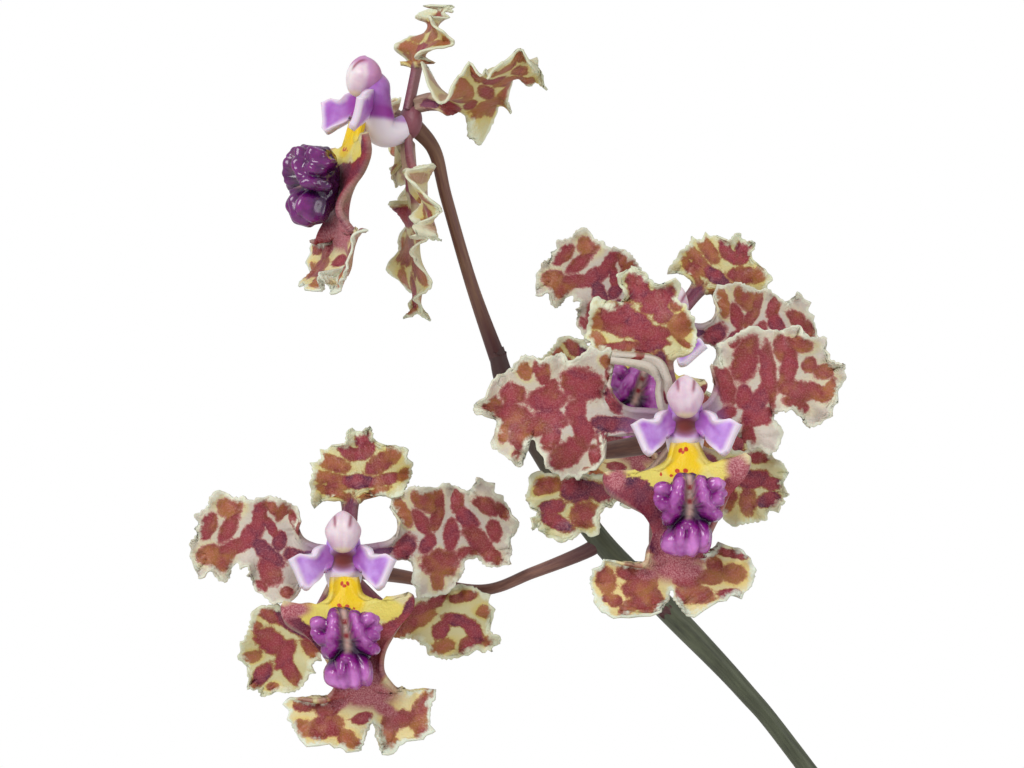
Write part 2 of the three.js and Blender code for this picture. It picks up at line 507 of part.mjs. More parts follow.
function blooms() {
  const group = new THREE.Group();
  for (const bloom of BLOOMS) {
    const { form, pose, name } = bloom;
    const head = new THREE.Group();
    head.setRotationFromMatrix(facing(bloom));
    head.position.set(...bloom.at.map((v, k) => v + SPRAY[k]));
    head.scale.setScalar(bloom.size);
    const seat = (extra) => ball(RECEPTACLE.at, [1, 1, 1].map((s) => s * RECEPTACLE.radius), 8, 6, extra);
    const pillar = (extra) => bar(COLUMN.path, COLUMN.radius, 8, 4, extra);
    const tepals = ['dorsal', 'petalLeft', 'petalRight', 'sepalLeft', 'sepalRight'];
    const perianth = fused([seat(0), ...tepals.map((part) => blade(form[part], pose[part], STRIPS[part]))]);
    const wings = [blade(WING, null, 2), blade(mirrored(WING), null, 2)];
    const column = cleared(fused([pillar(0), ...wings]), [seat(GAP), ball(CAP.at, CAP.size, 8, 6, GAP),
      ball(STIGMA.at, STIGMA.size, 6, 4)]);
    const lip = cleared(solid(blade(form.lip, null, STRIPS.lip)), [pillar(GAP + 0.1)]);
    head.add(mesh(`${name}_perianth`, largest(perianth), COLOURS.petal, 0.5));
    head.add(mesh(`${name}_lip`, largest(lip), COLOURS.lip, 0.45));
    head.add(mesh(`${name}_callus`, callus(form.lip), COLOURS.callus, 0.25));
    head.add(mesh(`${name}_column`, largest(column), COLOURS.column, 0.4));
    head.add(mesh(`${name}_anther_cap`, ball(CAP.at, CAP.size, 8, 6), COLOURS.cap, 0.4));
    group.add(head);
  }
  return group;
}

function pedicels() {
  const group = new THREE.Group();
  for (const bloom of BLOOMS) {
    const { from, by, thick } = PEDICELS[bloom.name];
    const seat = new THREE.Vector3(...RECEPTACLE.at).multiplyScalar(bloom.size).applyMatrix4(facing(bloom));
    const end = seat.toArray().map((v, k) => v + bloom.at[k]);
    const path = [from, ...by, end].map((p) => p.map((v, k) => v + SPRAY[k]));
    const stalk = solid(bar(path, thick, 6, 8));
    const clear = RECEPTACLE.radius * bloom.size + GAP;
    const cut = cleared(stalk, [ball(path[path.length - 1], [clear, clear, clear], 8, 6), flowerStem(GAP)]);
    group.add(mesh(`${bloom.name}_pedicel`, largest(cut), COLOURS.pedicel, 0.5));
  }
  return group;
}

function flowerStem(extra) {
  return bar(SCAPE, SCAPE_RADIUS, 7, 22, extra);
}

/** The flower stem with a short sheathing bract round each joint. */
function stem() {
  const curve = new THREE.CatmullRomCurve3(SCAPE.map((p) => new THREE.Vector3(...p)), false, 'catmullrom', 0.5);
  const last = SCAPE.length - 1;
  const knots = SCAPE.map((_, k) => k);
  const bracts = BRACTS.map(([share, stand]) => {
    const points = BRACT_RINGS.map((step) => curve.getPoint(share + step).toArray());
    const radius = smooth(knots, SCAPE_RADIUS, share * last);
    return bar(points, [radius + 0.1, radius + stand, radius + 0.6 * stand], 6, 2);
  });
  return mesh('flower_stem', largest(fused([flowerStem(0), ...bracts])), COLOURS.stem, 0.55);
}

/**
 * Point of a leaf: t along, q across. The middle line leans over from upright by lean and arch; the two halves
 * rise from the keel as a V, steep at the foot and nearly flat further out.
 */
function leafPoint(leaf, t, q) {
  const heading = THREE.MathUtils.degToRad(leaf.heading);
  let far = 0;
  let high = BARK.top + BULB.height + LEAF.above;
  for (let i = 0; i < LEAF.steps; i += 1) {
    const angle = THREE.MathUtils.degToRad(leaf.lean + leaf.arch * ((i + 0.5) / LEAF.steps) * t);
    far += (Math.sin(angle) * leaf.long * t) / LEAF.steps;
    high += (Math.cos(angle) * leaf.long * t) / LEAF.steps;
  }
  const tilt = THREE.MathUtils.degToRad(leaf.lean + leaf.arch * t);
  const swell = Math.sin(Math.PI * Math.min(t, 0.995) ** LEAF.point) ** LEAF.full;
  const half = (leaf.wide / 2) * (LEAF.foot * (1 - t) ** 2 + swell);
  const [steep, opening, more] = LEAF.open;
  const open = THREE.MathUtils.degToRad(steep - opening * ease(0, 0.3, t) + more * t);
  const side = q * half * Math.cos(open);
  const rise = Math.abs(q) * half * Math.sin(open);
  const out = far - Math.cos(tilt) * rise;
  return new THREE.Vector3(
    leaf.at[0] + Math.cos(heading) * out - Math.sin(heading) * side,
    leaf.at[1] + Math.sin(heading) * out + Math.cos(heading) * side,
    high + Math.sin(tilt) * rise,
  );
}

function leaves() {
  const group = new THREE.Group();
  LEAVES.forEach((leaf, n) => {
    const { rows, columns, edge, keel, taper } = LEAF;
    const grid = [];
    for (let i = 0; i <= rows; i += 1) {
      const row = [];
      for (let j = 0; j <= columns; j += 1) row.push(leafPoint(leaf, i / rows, -1 + (2 * j) / columns));
      grid.push(row);
    }
    const thick = (s, q) => edge + keel * (1 - Math.abs(2 * q - 1)) * (1 - taper * s);
    group.add(mesh(`leaf_${n + 1}`, sheet(grid, thick), COLOURS.leaf, 0.45));
  });
  return group;
}

/** The creeping rhizome with a small pseudobulb under each leaf, all one grown body. */
function rhizomeBody(extra) {
  const line = LEAVES.map(({ at }) => [at[0], at[1], BARK.top + 1]);
  const radii = line.map(() => BULB.rhizome);
  const bulbs = LEAVES.map(({ at }) => {
    const profile = BULB.profile.map(([r, h]) => [
      r * (BULB.radius + extra), BARK.top + h * (BULB.height + 2 * extra) - extra]);
    return turned(profile, 8, at[0], at[1]);
  });
  return fused([bar(line, radii, 6, 8, extra), ...bulbs]);
}

function rootBars(extra) {
  return ROOTS.map(([x, y, heading]) => {
    const near = LEAVES.reduce((best, { at }) => (
      Math.hypot(at[0] - x, at[1] - y) < Math.hypot(best[0] - x, best[1] - y) ? at : best), LEAVES[0].at);
    const angle = THREE.MathUtils.degToRad(heading);
    const middle = [(near[0] + x) / 2 + 4 * Math.sin(angle), (near[1] + y) / 2 - 4 * Math.cos(angle), BARK.top + 5];
    const end = [x + 6 * Math.cos(angle), y + 6 * Math.sin(angle), BARK.top - 6];
    return bar([[near[0], near[1], BARK.top + 2], middle, [x, y, BARK.top + 3], end],
      [ROOT_RADIUS, ROOT_RADIUS, ROOT_RADIUS, 0.7 * ROOT_RADIUS], 5, 5, extra);
  });
}

/** Chips of bark lying at all angles on a plug that fills the pot. */
function bark() {
  const draw = drawer(SEED);
  const inner = (z) => POT.base - POT.wall + ((POT.top - POT.base) * z) / POT.height - GAP - 0.4;
  const low = POT.floor + GAP;
  const plug = turned([[0, low], [inner(low), low], [inner(BARK.top - 2), BARK.top - 2], [0, BARK.top]], POT.sides);
  const chips = [];
  const golden = Math.PI * (3 - Math.sqrt(5));
  for (let i = 0; i < BARK.chips; i += 1) {
    const radius = (inner(BARK.top) - BARK.inset) * Math.sqrt((i + 0.5) / BARK.chips);
    const chip = new THREE.BoxGeometry(BARK.long * (0.75 + 0.5 * draw()), BARK.wide * (0.7 + 0.5 * draw()),
      BARK.thick * (0.8 + 0.4 * draw()));
    chip.rotateX(0.7 * (draw() - 0.5));
    chip.rotateY(0.7 * (draw() - 0.5));
    chip.rotateZ(2 * Math.PI * draw());
    chip.translate(radius * Math.cos(golden * i), radius * Math.sin(golden * i), BARK.top + 1.2 * draw());
    chips.push(chip);
  }
  const grown = [flowerStem(GAP), ...rootBars(GAP)];
  const body = cleared(fused([plug, ...chips]), grown).subtract(rhizomeBody(GAP));
  return mesh('bark', largest(body), COLOURS.bark, 0.9);
}

/** A body turned about the upright axis from a profile of radius and height, moved by x and y. */
function turned(profile, sides, x = 0, y = 0) {
  const lathe = new THREE.LatheGeometry(profile.map(([r, z]) => new THREE.Vector2(r, z)), sides);
  lathe.rotateX(Math.PI / 2);
  lathe.translate(x, y, 0);
  return lathe;
}

/** The clay pot, with a thicker rim and drain holes round the solid middle of its floor. */
function pot() {
  const slope = (POT.top - POT.base) / POT.height;
  const step = POT.height - POT.band;
  const wall = turned([
    [0, 0], [POT.base, 0], [POT.base + slope * step, step], [POT.rim - 2, step], [POT.rim, POT.height],
    [POT.top - POT.wall, POT.height], [POT.base - POT.wall + slope * POT.floor, POT.floor], [0, POT.floor],
  ], POT.sides);
  const holes = Array.from({ length: DRAIN.holes }, (_, n) => {
    const angle = (2 * Math.PI * (n + 0.5)) / DRAIN.holes;
    const through = [[0, -1], [DRAIN.radius, -1], [DRAIN.radius, POT.floor + 1], [0, POT.floor + 1]];
    return turned(through, DRAIN.sides, DRAIN.from * Math.cos(angle), DRAIN.from * Math.sin(angle));
  });
  return mesh('pot', largest(cleared(solid(wall), holes)), COLOURS.clay, 0.8);
}

const group = new THREE.Group();
group.add(pot(), bark(), stem(), pedicels(), blooms(), leaves());
group.add(mesh('rhizome', largest(cleared(rhizomeBody(0), [flowerStem(GAP)])), COLOURS.bulb, 0.5));
fused(rootBars(0)).subtract(rhizomeBody(GAP)).decompose().forEach((one, n) => {
  group.add(mesh(`root_${n + 1}`, largest(one), COLOURS.root, 0.7));
});

export default group;
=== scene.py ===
"""A potted mule-ear orchid: a clay pot of bark, stiff spotted leaves, and four blooms on an arching stem.

+Z is up, the blooms face -Y, and the origin is the middle of the pot's base. Shapes are worked out in
millimetres and go into the meshes in metres. A bloom is described in its own directions: u to its right as
seen from its front, v up and w out of its face, all from the middle of its stigma.
"""

import bpy
import numpy as np
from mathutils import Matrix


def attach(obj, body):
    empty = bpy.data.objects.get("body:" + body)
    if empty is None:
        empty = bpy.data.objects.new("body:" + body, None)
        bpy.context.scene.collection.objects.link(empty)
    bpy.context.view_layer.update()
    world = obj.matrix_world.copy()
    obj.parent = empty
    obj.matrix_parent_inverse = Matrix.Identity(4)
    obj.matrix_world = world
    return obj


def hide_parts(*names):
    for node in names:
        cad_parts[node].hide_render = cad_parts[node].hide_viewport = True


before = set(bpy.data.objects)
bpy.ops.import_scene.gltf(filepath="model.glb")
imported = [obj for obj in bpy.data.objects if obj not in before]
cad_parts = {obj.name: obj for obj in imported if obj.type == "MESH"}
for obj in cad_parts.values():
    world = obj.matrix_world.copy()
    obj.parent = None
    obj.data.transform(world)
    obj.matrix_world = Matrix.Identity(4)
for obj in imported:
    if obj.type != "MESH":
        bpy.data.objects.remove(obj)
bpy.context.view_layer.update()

# Camera: level with the flower spray and straight in front of it, far enough off that the blooms keep their
# shapes. Nothing is out of focus.
camera_data = bpy.data.cameras.new("camera")
camera_data.lens = 172.3
camera_data.sensor_width = 36.0
camera_data.clip_start = 0.01
camera = bpy.data.objects.new("camera", camera_data)
camera.location = (-0.1, -0.35, 0.42)
camera.rotation_euler = (np.pi / 2, 0, 0)
bpy.context.scene.collection.objects.link(camera)
bpy.context.scene.camera = camera
bpy.context.scene.view_settings.view_transform = "Standard"


# Studio: a round table of white-painted board, a white room round it, and two soft lamps.
# The paint is matt, so it gives the eye an even pale ground with a soft shadow on it.
def linear(colour):
    """sRGB hex as linear RGB and alpha 1: ((c + 0.055) / 1.055) ^ 2.4, or c / 12.92 up to 0.04045."""
    c = np.array([int(colour[k:k + 2], 16) / 255 for k in (1, 3, 5)])
    return (*np.where(c > 0.04045, ((c + 0.055) / 1.055) ** 2.4, c / 12.92), 1.0)


def wire(made, links):
    """Links a node's sockets to (node, output) pairs."""
    for socket, (source, output) in dict(links).items():
        made.id_data.links.new(source.outputs[output], made.inputs[socket])


def node(tree, kind, values=(), links=(), stops=(), **settings):
    """Adds a shader node with its settings, its sockets' values (hex for a colour), their links to (node,
    output) pairs, and a ramp's stops of (value, hex) in rising order."""
    made = tree.nodes.new("ShaderNode" + kind)
    for name, value in settings.items():
        setattr(made, name, value)
    for socket, value in dict(values).items():
        made.inputs[socket].default_value = linear(value) if isinstance(value, str) else value
    wire(made, links)
    for _ in stops[2:]:
        made.color_ramp.elements.new(0.5)
    for number, (value, colour) in enumerate(stops):
        made.color_ramp.elements[number].position = value
        made.color_ramp.elements[number].color = linear(colour)
    return made


def finish(name, **constants):
    """A new material, its tree and its shader, with constants for the shader's sockets."""
    material = bpy.data.materials.new(name)
    material.use_nodes = True
    shader = material.node_tree.nodes["Principled BSDF"]
    for socket, value in constants.items():
        shader.inputs[socket.replace("_", " ")].default_value = value
    return material, material.node_tree, shader


def piece(name, points, faces, material, marks=None):
    """A smooth mesh object from points in millimetres, with its marks as attributes of the points."""
    mesh = bpy.data.meshes.new(name)
    mesh.from_pydata(points / 1000, [], faces)
    for mark, values in (marks or {}).items():
        kind, field = ("FLOAT_VECTOR", "vector") if values.ndim == 2 else ("FLOAT", "value")
        mesh.attributes.new(mark, kind, "POINT").data.foreach_set(field, values.astype(np.float32).ravel())
    mesh.polygons.foreach_set("use_smooth", np.ones(len(mesh.polygons), bool))
    mesh.materials.append(material)
    mesh.update()
    made = bpy.data.objects.new(name, mesh)
    bpy.context.scene.collection.objects.link(made)
    return made


TABLE = {"radius": 3000, "drop": 0.4, "sides": 96}
table_paint, tree, shader = finish("white_table_paint", Roughness=0.7, IOR=1.45)
shader.inputs["Base Color"].default_value = linear("#F2F1EE")
around = np.linspace(0, 2 * np.pi, TABLE["sides"], endpoint=False)
board = np.stack([np.cos(around), np.sin(around), 0 * around], axis=1) * TABLE["radius"]
board = board - [0, 0, TABLE["drop"]]
floor = piece("table_top", board, [list(range(len(around)))], table_paint)

# The room's walls are seen pure white, and light the plant a little less than that.
room = bpy.data.worlds.new("white_room")
room.use_nodes = True
walls = room.node_tree.nodes["Background"]
walls.inputs["Color"].default_value = linear("#FFFFFF")
seen = node(room.node_tree, "LightPath")
glow = node(room.node_tree, "MapRange", {"To Min": 0.62}, {"Value": (seen, "Is Camera Ray")})
wire(walls, {"Strength": (glow, "Result")})
bpy.context.scene.world = room

# Each lamp's name, its place and width in metres, and its watts. Both are aimed at the upper flower stem.
LAMPS = [("window_lamp", (-0.75, -0.8, 1.15), 0.7, 9.0), ("side_lamp", (0.7, -0.5, 0.6), 0.5, 2.0)]
AIM = np.array([-0.1, 0, 0.4])
for name, place, size, power in LAMPS:
    lamp_data = bpy.data.lights.new(name, "AREA")
    lamp_data.shape = "DISK"
    lamp_data.size = size
    lamp_data.energy = power
    lamp = bpy.data.objects.new(name, lamp_data)
    aim = AIM - np.array(place)
    lamp.location = place
    steep = np.arccos(-aim[2] / np.linalg.norm(aim))
    lamp.rotation_euler = (steep, 0, np.arctan2(aim[1], aim[0]) - np.pi / 2)
    bpy.context.scene.collection.objects.link(lamp)


# Pot: thrown red clay, fired and unglazed, with a thicker rim and three drain holes round the solid middle
# of its floor. It stands on its flat base and holds the bark.
POT = {"height": 105, "rim": 62, "band": 20, "top": 57, "base": 43, "wall": 5, "floor": 6, "arris": 1.8}
POT_SIDES = 128
DRAIN = {"holes": 3, "radius": 5, "from": 20, "sides": 40}


def rounded(corners, radius, steps=6):
    """A profile with each inner corner replaced by a quadratic arc between points at most radius from it."""
    corners = np.asarray(corners, float)
    before, here, after = corners[:-2, None], corners[1:-1, None], corners[2:, None]
    reach_a = np.linalg.norm(before - here, axis=2, keepdims=True)
    reach_b = np.linalg.norm(after - here, axis=2, keepdims=True)
    start = here + (before - here) / reach_a * np.minimum(radius, 0.45 * reach_a)
    end = here + (after - here) / reach_b * np.minimum(radius, 0.45 * reach_b)
    s = np.linspace(0, 1, steps)[None, :, None]
    arcs = (1 - s) ** 2 * start + 2 * s * (1 - s) * here + s ** 2 * end
    return np.concatenate([corners[:1], arcs.reshape(-1, 2), corners[-1:]])


def turned(profile, sides):
    """Rings (height, corner, xyz) of a profile of radius and height turned about the upright axis."""
    a = np.linspace(0, 2 * np.pi, sides, endpoint=False)
    r, z = np.asarray(profile, float).T
    return np.stack([r[:, None] * np.cos(a), r[:, None] * np.sin(a), z[:, None] + 0 * a], axis=-1)


def closed_rings(rings):
    """Points and faces of a skin over rings (ring, corner, xyz), each end closed by a fan to its middle."""
    rows, columns = rings.shape[:2]
    at = np.arange(rows * columns).reshape(rows, columns)
    beside = np.roll(at, -1, axis=1)
    quads = np.stack([at[:-1], beside[:-1], beside[1:], at[1:]], axis=-1).reshape(-1, 4)
    low = np.stack([beside[0], at[0], np.full(columns, rows * columns)], axis=-1)
    high = np.stack([at[-1], beside[-1], np.full(columns, rows * columns + 1)], axis=-1)
    points = np.concatenate([rings.reshape(-1, 3), rings[[0, -1]].mean(axis=1)])
    return points, quads.tolist() + low.tolist() + high.tolist()


# Earthenware: the clay fires to a mottled orange-brown, dull all over, with pale lime where water dries out
# of it near the foot, fine throwing lines round it and grains of grog under a millimetre.
clay, tree, shader = finish("unglazed_terracotta", Roughness=0.88, IOR=1.5)
here = (node(tree, "TexCoord"), "Object")
mottle = node(tree, "TexNoise", {"Scale": 28.0, "Detail": 6.0, "Roughness": 0.6}, {"Vector": here})
fired = node(tree, "ValToRGB", links={"Fac": (mottle, "Fac")}, stops=[(0.32, "#9C5238"), (0.68, "#C47B58")])
height = node(tree, "SeparateXYZ", links={"Vector": here})
low = node(tree, "MapRange", {"From Max": 0.035, "To Min": 0.75, "To Max": 0.0}, {"Value": (height, "Z")})
patchy = node(tree, "TexNoise", {"Scale": 55.0, "Detail": 8.0}, {"Vector": here})
lime = node(tree, "Math", links={0: (low, "Result"), 1: (patchy, "Fac")}, operation="MULTIPLY")
chalked = node(tree, "Mix", {7: "#D9C7B4"}, {0: (lime, "Value"), 6: (fired, "Color")}, data_type="RGBA")
grog = node(tree, "TexNoise", {"Scale": 1600.0, "Detail": 3.0}, {"Vector": here})
lines = node(tree, "TexWave", {"Scale": 160.0, "Distortion": 1.2, "Detail": 2.0}, {"Vector": here},
             bands_direction="Z")
relief = node(tree, "Math", {1: 0.5}, {0: (lines, "Fac"), 2: (grog, "Fac")}, operation="MULTIPLY_ADD")
bump = node(tree, "Bump", {"Strength": 0.5, "Distance": 0.0002}, {"Height": (relief, "Value")})
wire(shader, {"Base Color": (chalked, 2), "Normal": (bump, "Normal")})

slope = (POT["top"] - POT["base"]) / POT["height"]
step = POT["height"] - POT["band"]
inside = POT["base"] - POT["wall"]
wall = rounded([
    (1, 0), (POT["base"], 0), (POT["base"] + slope * step, step), (POT["rim"] - 2, step + 0.5),
    (POT["rim"], POT["height"]), (POT["top"] - POT["wall"], POT["height"]),
    (inside + slope * POT["floor"], POT["floor"]), (1, POT["floor"]),
], POT["arris"])
pot = piece("clay_pot", *closed_rings(turned(wall, POT_SIDES)), clay)
for n in range(DRAIN["holes"]):
    angle = 2 * np.pi * (n + 0.5) / DRAIN["holes"]
    bit = turned([(DRAIN["radius"], -2), (DRAIN["radius"], POT["floor"] + 2)], DRAIN["sides"])
    bit += [DRAIN["from"] * np.cos(angle), DRAIN["from"] * np.sin(angle), 0]
    drill = piece("drill", *closed_rings(bit), clay)
    cut = pot.modifiers.new("drain", "BOOLEAN")
    cut.operation = "DIFFERENCE"
    cut.solver = "EXACT"
    cut.object = drill
    evaluated = pot.evaluated_get(bpy.context.evaluated_depsgraph_get())
    pot.data = bpy.data.meshes.new_from_object(evaluated)
    pot.modifiers.clear()
    bpy.data.objects.remove(drill)
pot.data.name = "clay_pot"
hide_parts("pot")
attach(pot, "root")

# Bark medium: chips of fir bark, split and tumbled, a full pot of them. They lie loose at all angles, the
# coarse ones on top, and the fine stuff between them shows dark.
BARK = {"top": 84, "chips": 150, "inset": 10, "gap": 0.7, "sides": 64}
CHIP = {"least": (6, 4, 1.4), "more": (5, 3, 1.2), "tip": 1.1, "levels": 8, "corners": 14}


def rotations(angles):
    """Rotation matrices from rows of three angles: about X, then Y, then Z."""
    (cx, cy, cz), (sx, sy, sz) = np.cos(angles).T, np.sin(angles).T
    return np.stack([
        np.stack([cy * cz, sx * sy * cz - cx * sz, cx * sy * cz + sx * sz], axis=-1),
        np.stack([cy * sz, sx * sy * sz + cx * cz, cx * sy * sz - sx * cz], axis=-1),
        np.stack([-sy, sx * cy, cx * cy], axis=-1),
    ], axis=1)


def joined(parts):
    """Points and faces of several skins as one, each part given as (points, faces)."""
    starts = np.cumsum([0] + [len(points) for points, _ in parts])
    faces = [[corner + start for corner in face] for (_, some), start in zip(parts, starts) for face in some]
    return np.concatenate([points for points, _ in parts]), faces


# Fir bark: layered like pastry in red-brown and grey-brown, dull and corky, with layers a millimetre thick.
bark_stuff, tree, shader = finish("fir_bark", Roughness=0.93, IOR=1.4)
here = (node(tree, "TexCoord"), "Object")
flattened = (node(tree, "Mapping", {"Scale": (1.0, 1.0, 4.0)}, {"Vector": here}), "Vector")
layers = node(tree, "TexNoise", {"Scale": 210.0, "Detail": 7.0, "Roughness": 0.65}, {"Vector": flattened})
split = node(tree, "ValToRGB", links={"Fac": (layers, "Fac")}, stops=[(0.35, "#2F2019"), (0.66, "#8A5F43")])
tint = node(tree, "Attribute", attribute_name="chip")
weathered = node(tree, "Mix", {7: "#6F6355"}, {0: (tint, "Fac"), 6: (split, "Color")}, data_type="RGBA")
cork = node(tree, "TexVoronoi", {"Scale": 500.0}, {"Vector": flattened})
relief = node(tree, "Math", {1: 0.6}, {0: (cork, "Distance"), 2: (layers, "Fac")}, operation="MULTIPLY_ADD")
bump = node(tree, "Bump", {"Strength": 0.8, "Distance": 0.0006}, {"Height": (relief, "Value")})
wire(shader, {"Base Color": (weathered, 2), "Normal": (bump, "Normal")})

draw = np.random.default_rng(11)
count = BARK["chips"]
inner = inside + slope * BARK["top"] - BARK["gap"]
number = np.arange(count)
reach = (inner - BARK["inset"]) * np.sqrt((number + 0.5) / count)
spread = number * np.pi * (3 - np.sqrt(5))
high = BARK["top"] - 3 + 5 * draw.random(count)
centres = np.stack([reach * np.cos(spread), reach * np.sin(spread), high], axis=1)
sizes = CHIP["least"] + CHIP["more"] * draw.random((3, count)).T
lie = (draw.random((3, count)).T - [0.5, 0.5, 0]) * [CHIP["tip"], CHIP["tip"], 2 * np.pi]
level = np.linspace(-0.5 * np.pi + 0.16, 0.5 * np.pi - 0.16, CHIP["levels"])[None, :, None]
spin = np.linspace(0, 2 * np.pi, CHIP["corners"], endpoint=False)[None, None, :]
brick = np.stack(np.broadcast_arrays(
    np.sign(np.cos(spin)) * np.abs(np.cos(spin)) ** 0.45 * np.cos(level) ** 0.35,
    np.sign(np.sin(spin)) * np.abs(np.sin(spin)) ** 0.45 * np.cos(level) ** 0.35,
    np.sign(np.sin(level)) * np.abs(np.sin(level)) ** 0.5), axis=-1)
chipped = brick * sizes[:, None, None, :] * (0.86 + 0.28 * draw.random((count, *brick.shape[1:3], 1)))
chipped = np.einsum("nab,nijb->nija", rotations(lie), chipped) + centres[:, None, None, :]
far = np.linalg.norm(chipped[..., :2], axis=-1, keepdims=True)
chipped[..., :2] *= np.minimum(1, (inner - 0.4) / far)
plug = turned([(1, POT["floor"] + 0.4), (inside - 0.6, POT["floor"] + 0.4), (inner, BARK["top"] - 2.5),
               (1, BARK["top"] - 1.5)], BARK["sides"])
skins = [closed_rings(plug)] + [closed_rings(chip) for chip in chipped]
points, faces = joined(skins)
greyness = np.repeat(np.concatenate([[0.0], 0.55 * draw.random(count)]), [len(p) for p, _ in skins])
medium = piece("bark_medium", points, faces, bark_stuff, {"chip": greyness})
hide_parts("bark")
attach(medium, "root")

# Rhizome with its pseudobulbs: a creeping green-brown shoot on the bark, with a small swollen bulb below
# each leaf. Dry papery sheaths cover the foot of each bulb.
LEAVES = [
    {"at": (-31, -3), "heading": 178, "lean": 34, "arch": 22, "long": 190, "wide": 48},
    {"at": (-15, 7), "heading": 116, "lean": 16, "arch": 20, "long": 225, "wide": 52},
    {"at": (7, -8), "heading": -66, "lean": 24, "arch": 24, "long": 180, "wide": 46},
    {"at": (21, 6), "heading": 52, "lean": 18, "arch": 22, "long": 210, "wide": 52},
    {"at": (36, -2), "heading": -4, "lean": 40, "arch": 24, "long": 165, "wide": 45},
]
BULB = {"radius": 7.5, "height": 17, "rhizome": 4.2,
        "profile": [(0, 0), (0.8, 0.06), (1, 0.3), (0.86, 0.62), (0.46, 0.9), (0, 1)]}
BULB_GRID = (40, 40)
CREEP = {"rings": 90, "sides": 24}


def smooth(knots, values, x):
    """Cubic pieces through values (rows) at knots, evaluated at x: the slope at a knot is that between its
    neighbours, h00 = (1 + 2s)(1 - s)^2, h10 = s(1 - s)^2, h01 = s^2(3 - 2s) and h11 = s^2(s - 1)."""
    knots, values, x = (np.asarray(given, float) for given in (knots, values, x))
    last = len(knots) - 1
    before, after = np.maximum(np.arange(last + 1) - 1, 0), np.minimum(np.arange(last + 1) + 1, last)
    column = (slice(None),) + (None,) * (values.ndim - 1)
    slopes = (values[after] - values[before]) / (knots[after] - knots[before])[column]
    i = np.searchsorted(knots[1:-1], x)
    h = (knots[i + 1] - knots[i])[column]
    s = (x - knots[i])[column] / h
    start = (1 + 2 * s) * (1 - s) ** 2 * values[i] + s * (1 - s) ** 2 * h * slopes[i]
    return start + s * s * (3 - 2 * s) * values[i + 1] + s * s * (s - 1) * h * slopes[i + 1]


def through(points, x):
    """Point x along a list of points, by the smooth line through them."""
    return smooth(np.arange(len(points)), points, x)


def ease(low, high, x):
    """Hermite step from 0 at low to 1 at high: s^2 (3 - 2s)."""
    s = np.clip((x - low) / (high - low), 0, 1)
    return s * s * (3 - 2 * s)


def bar(path, radius, sides):
    """Rings square to a path: centre + radius (cos a across + sin a other), one radius a ring or corner."""
    forward = np.gradient(path, axis=0)
    forward /= np.linalg.norm(forward, axis=1, keepdims=True)
    across = np.array([0.31, 0.17, 0.94]) - forward * (forward @ np.array([0.31, 0.17, 0.94]))[:, None]
    across /= np.linalg.norm(across, axis=1, keepdims=True)
    other = np.cross(forward, across)
    a = np.linspace(0, 2 * np.pi, sides, endpoint=False)[None, :, None]
    radius = np.broadcast_to(np.asarray(radius, float).reshape(len(path), -1), (len(path), sides))[..., None]
    return path[:, None] + radius * (np.cos(a) * across[:, None] + np.sin(a) * other[:, None])


# Living bulb: tough olive skin, waxy, streaked upwards by fibres a millimetre apart. Its sheath is tan.
bulb_skin, tree, shader = finish("living_bulb_skin", Roughness=0.5, IOR=1.42)
here = (node(tree, "TexCoord"), "Object")
drawn_out = (node(tree, "Mapping", {"Scale": (1.0, 1.0, 0.12)}, {"Vector": here}), "Vector")
fibres = node(tree, "TexNoise", {"Scale": 900.0, "Detail": 4.0}, {"Vector": drawn_out})
olive = node(tree, "ValToRGB", links={"Fac": (fibres, "Fac")}, stops=[(0.35, "#4B4A2A"), (0.7, "#727546")])
sheath = node(tree, "Attribute", attribute_name="sheath")
papery = node(tree, "Mix", {7: "#9A8462"}, {0: (sheath, "Fac"), 6: (olive, "Color")}, data_type="RGBA")
bump = node(tree, "Bump", {"Strength": 0.6, "Distance": 0.0004}, {"Height": (fibres, "Fac")})
wire(shader, {"Base Color": (papery, 2), "Normal": (bump, "Normal")})

creep = through([(x, y, BARK["top"] + 1) for x, y in (leaf["at"] for leaf in LEAVES)],
                np.linspace(0, len(LEAVES) - 1, CREEP["rings"]))
rings = BULB["rhizome"] * (1 + 0.07 * np.sin(np.linspace(0, 60, CREEP["rings"])))
skins = [closed_rings(bar(creep, rings, CREEP["sides"]))]
profile = through(BULB["profile"], np.linspace(0.15, 4.85, BULB_GRID[0]))
profile = np.maximum(profile, [0.03, 0]) * [BULB["radius"], BULB["height"]] + [0, BARK["top"]]
sheaths = [np.zeros(len(skins[0][0]))]
for leaf in LEAVES:
    bulb = turned(profile, BULB_GRID[1])
    angle = np.arctan2(bulb[..., 1], bulb[..., 0])
    bulb[..., :2] *= (1 + 0.03 * np.sin(9 * angle + leaf["at"][0]) + 0.02 * np.sin(17 * angle))[..., None]
    skins.append(closed_rings(bulb + [*leaf["at"], 0]))
    torn = 0.42 + 0.12 * np.sin(3 * angle + leaf["at"][1]) + 0.05 * np.sin(11 * angle)
    dry = ease(torn + 0.04, torn - 0.04, (bulb[..., 2] - BARK["top"]) / BULB["height"])
    sheaths.append(np.concatenate([dry.ravel(), [1, 0]]))
points, faces = joined(skins)
rhizome = piece("rhizome_with_bulbs", points, faces, bulb_skin, {"sheath": np.concatenate(sheaths)})
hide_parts("rhizome")
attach(rhizome, "root")

# Aerial roots: each grows out of the rhizome, over the bark and down into it. A spongy silver-white coat
# covers a thin core. Each is given by the place where it turns down, and its heading there.
ROOTS = [(-32, -15, 205), (-17, -27, 250), (-20, 21, 150), (15, -28, 285), (28, 21, 40)]
ROOT_RADIUS = 1.9
ROOT_GRID = (60, 18)

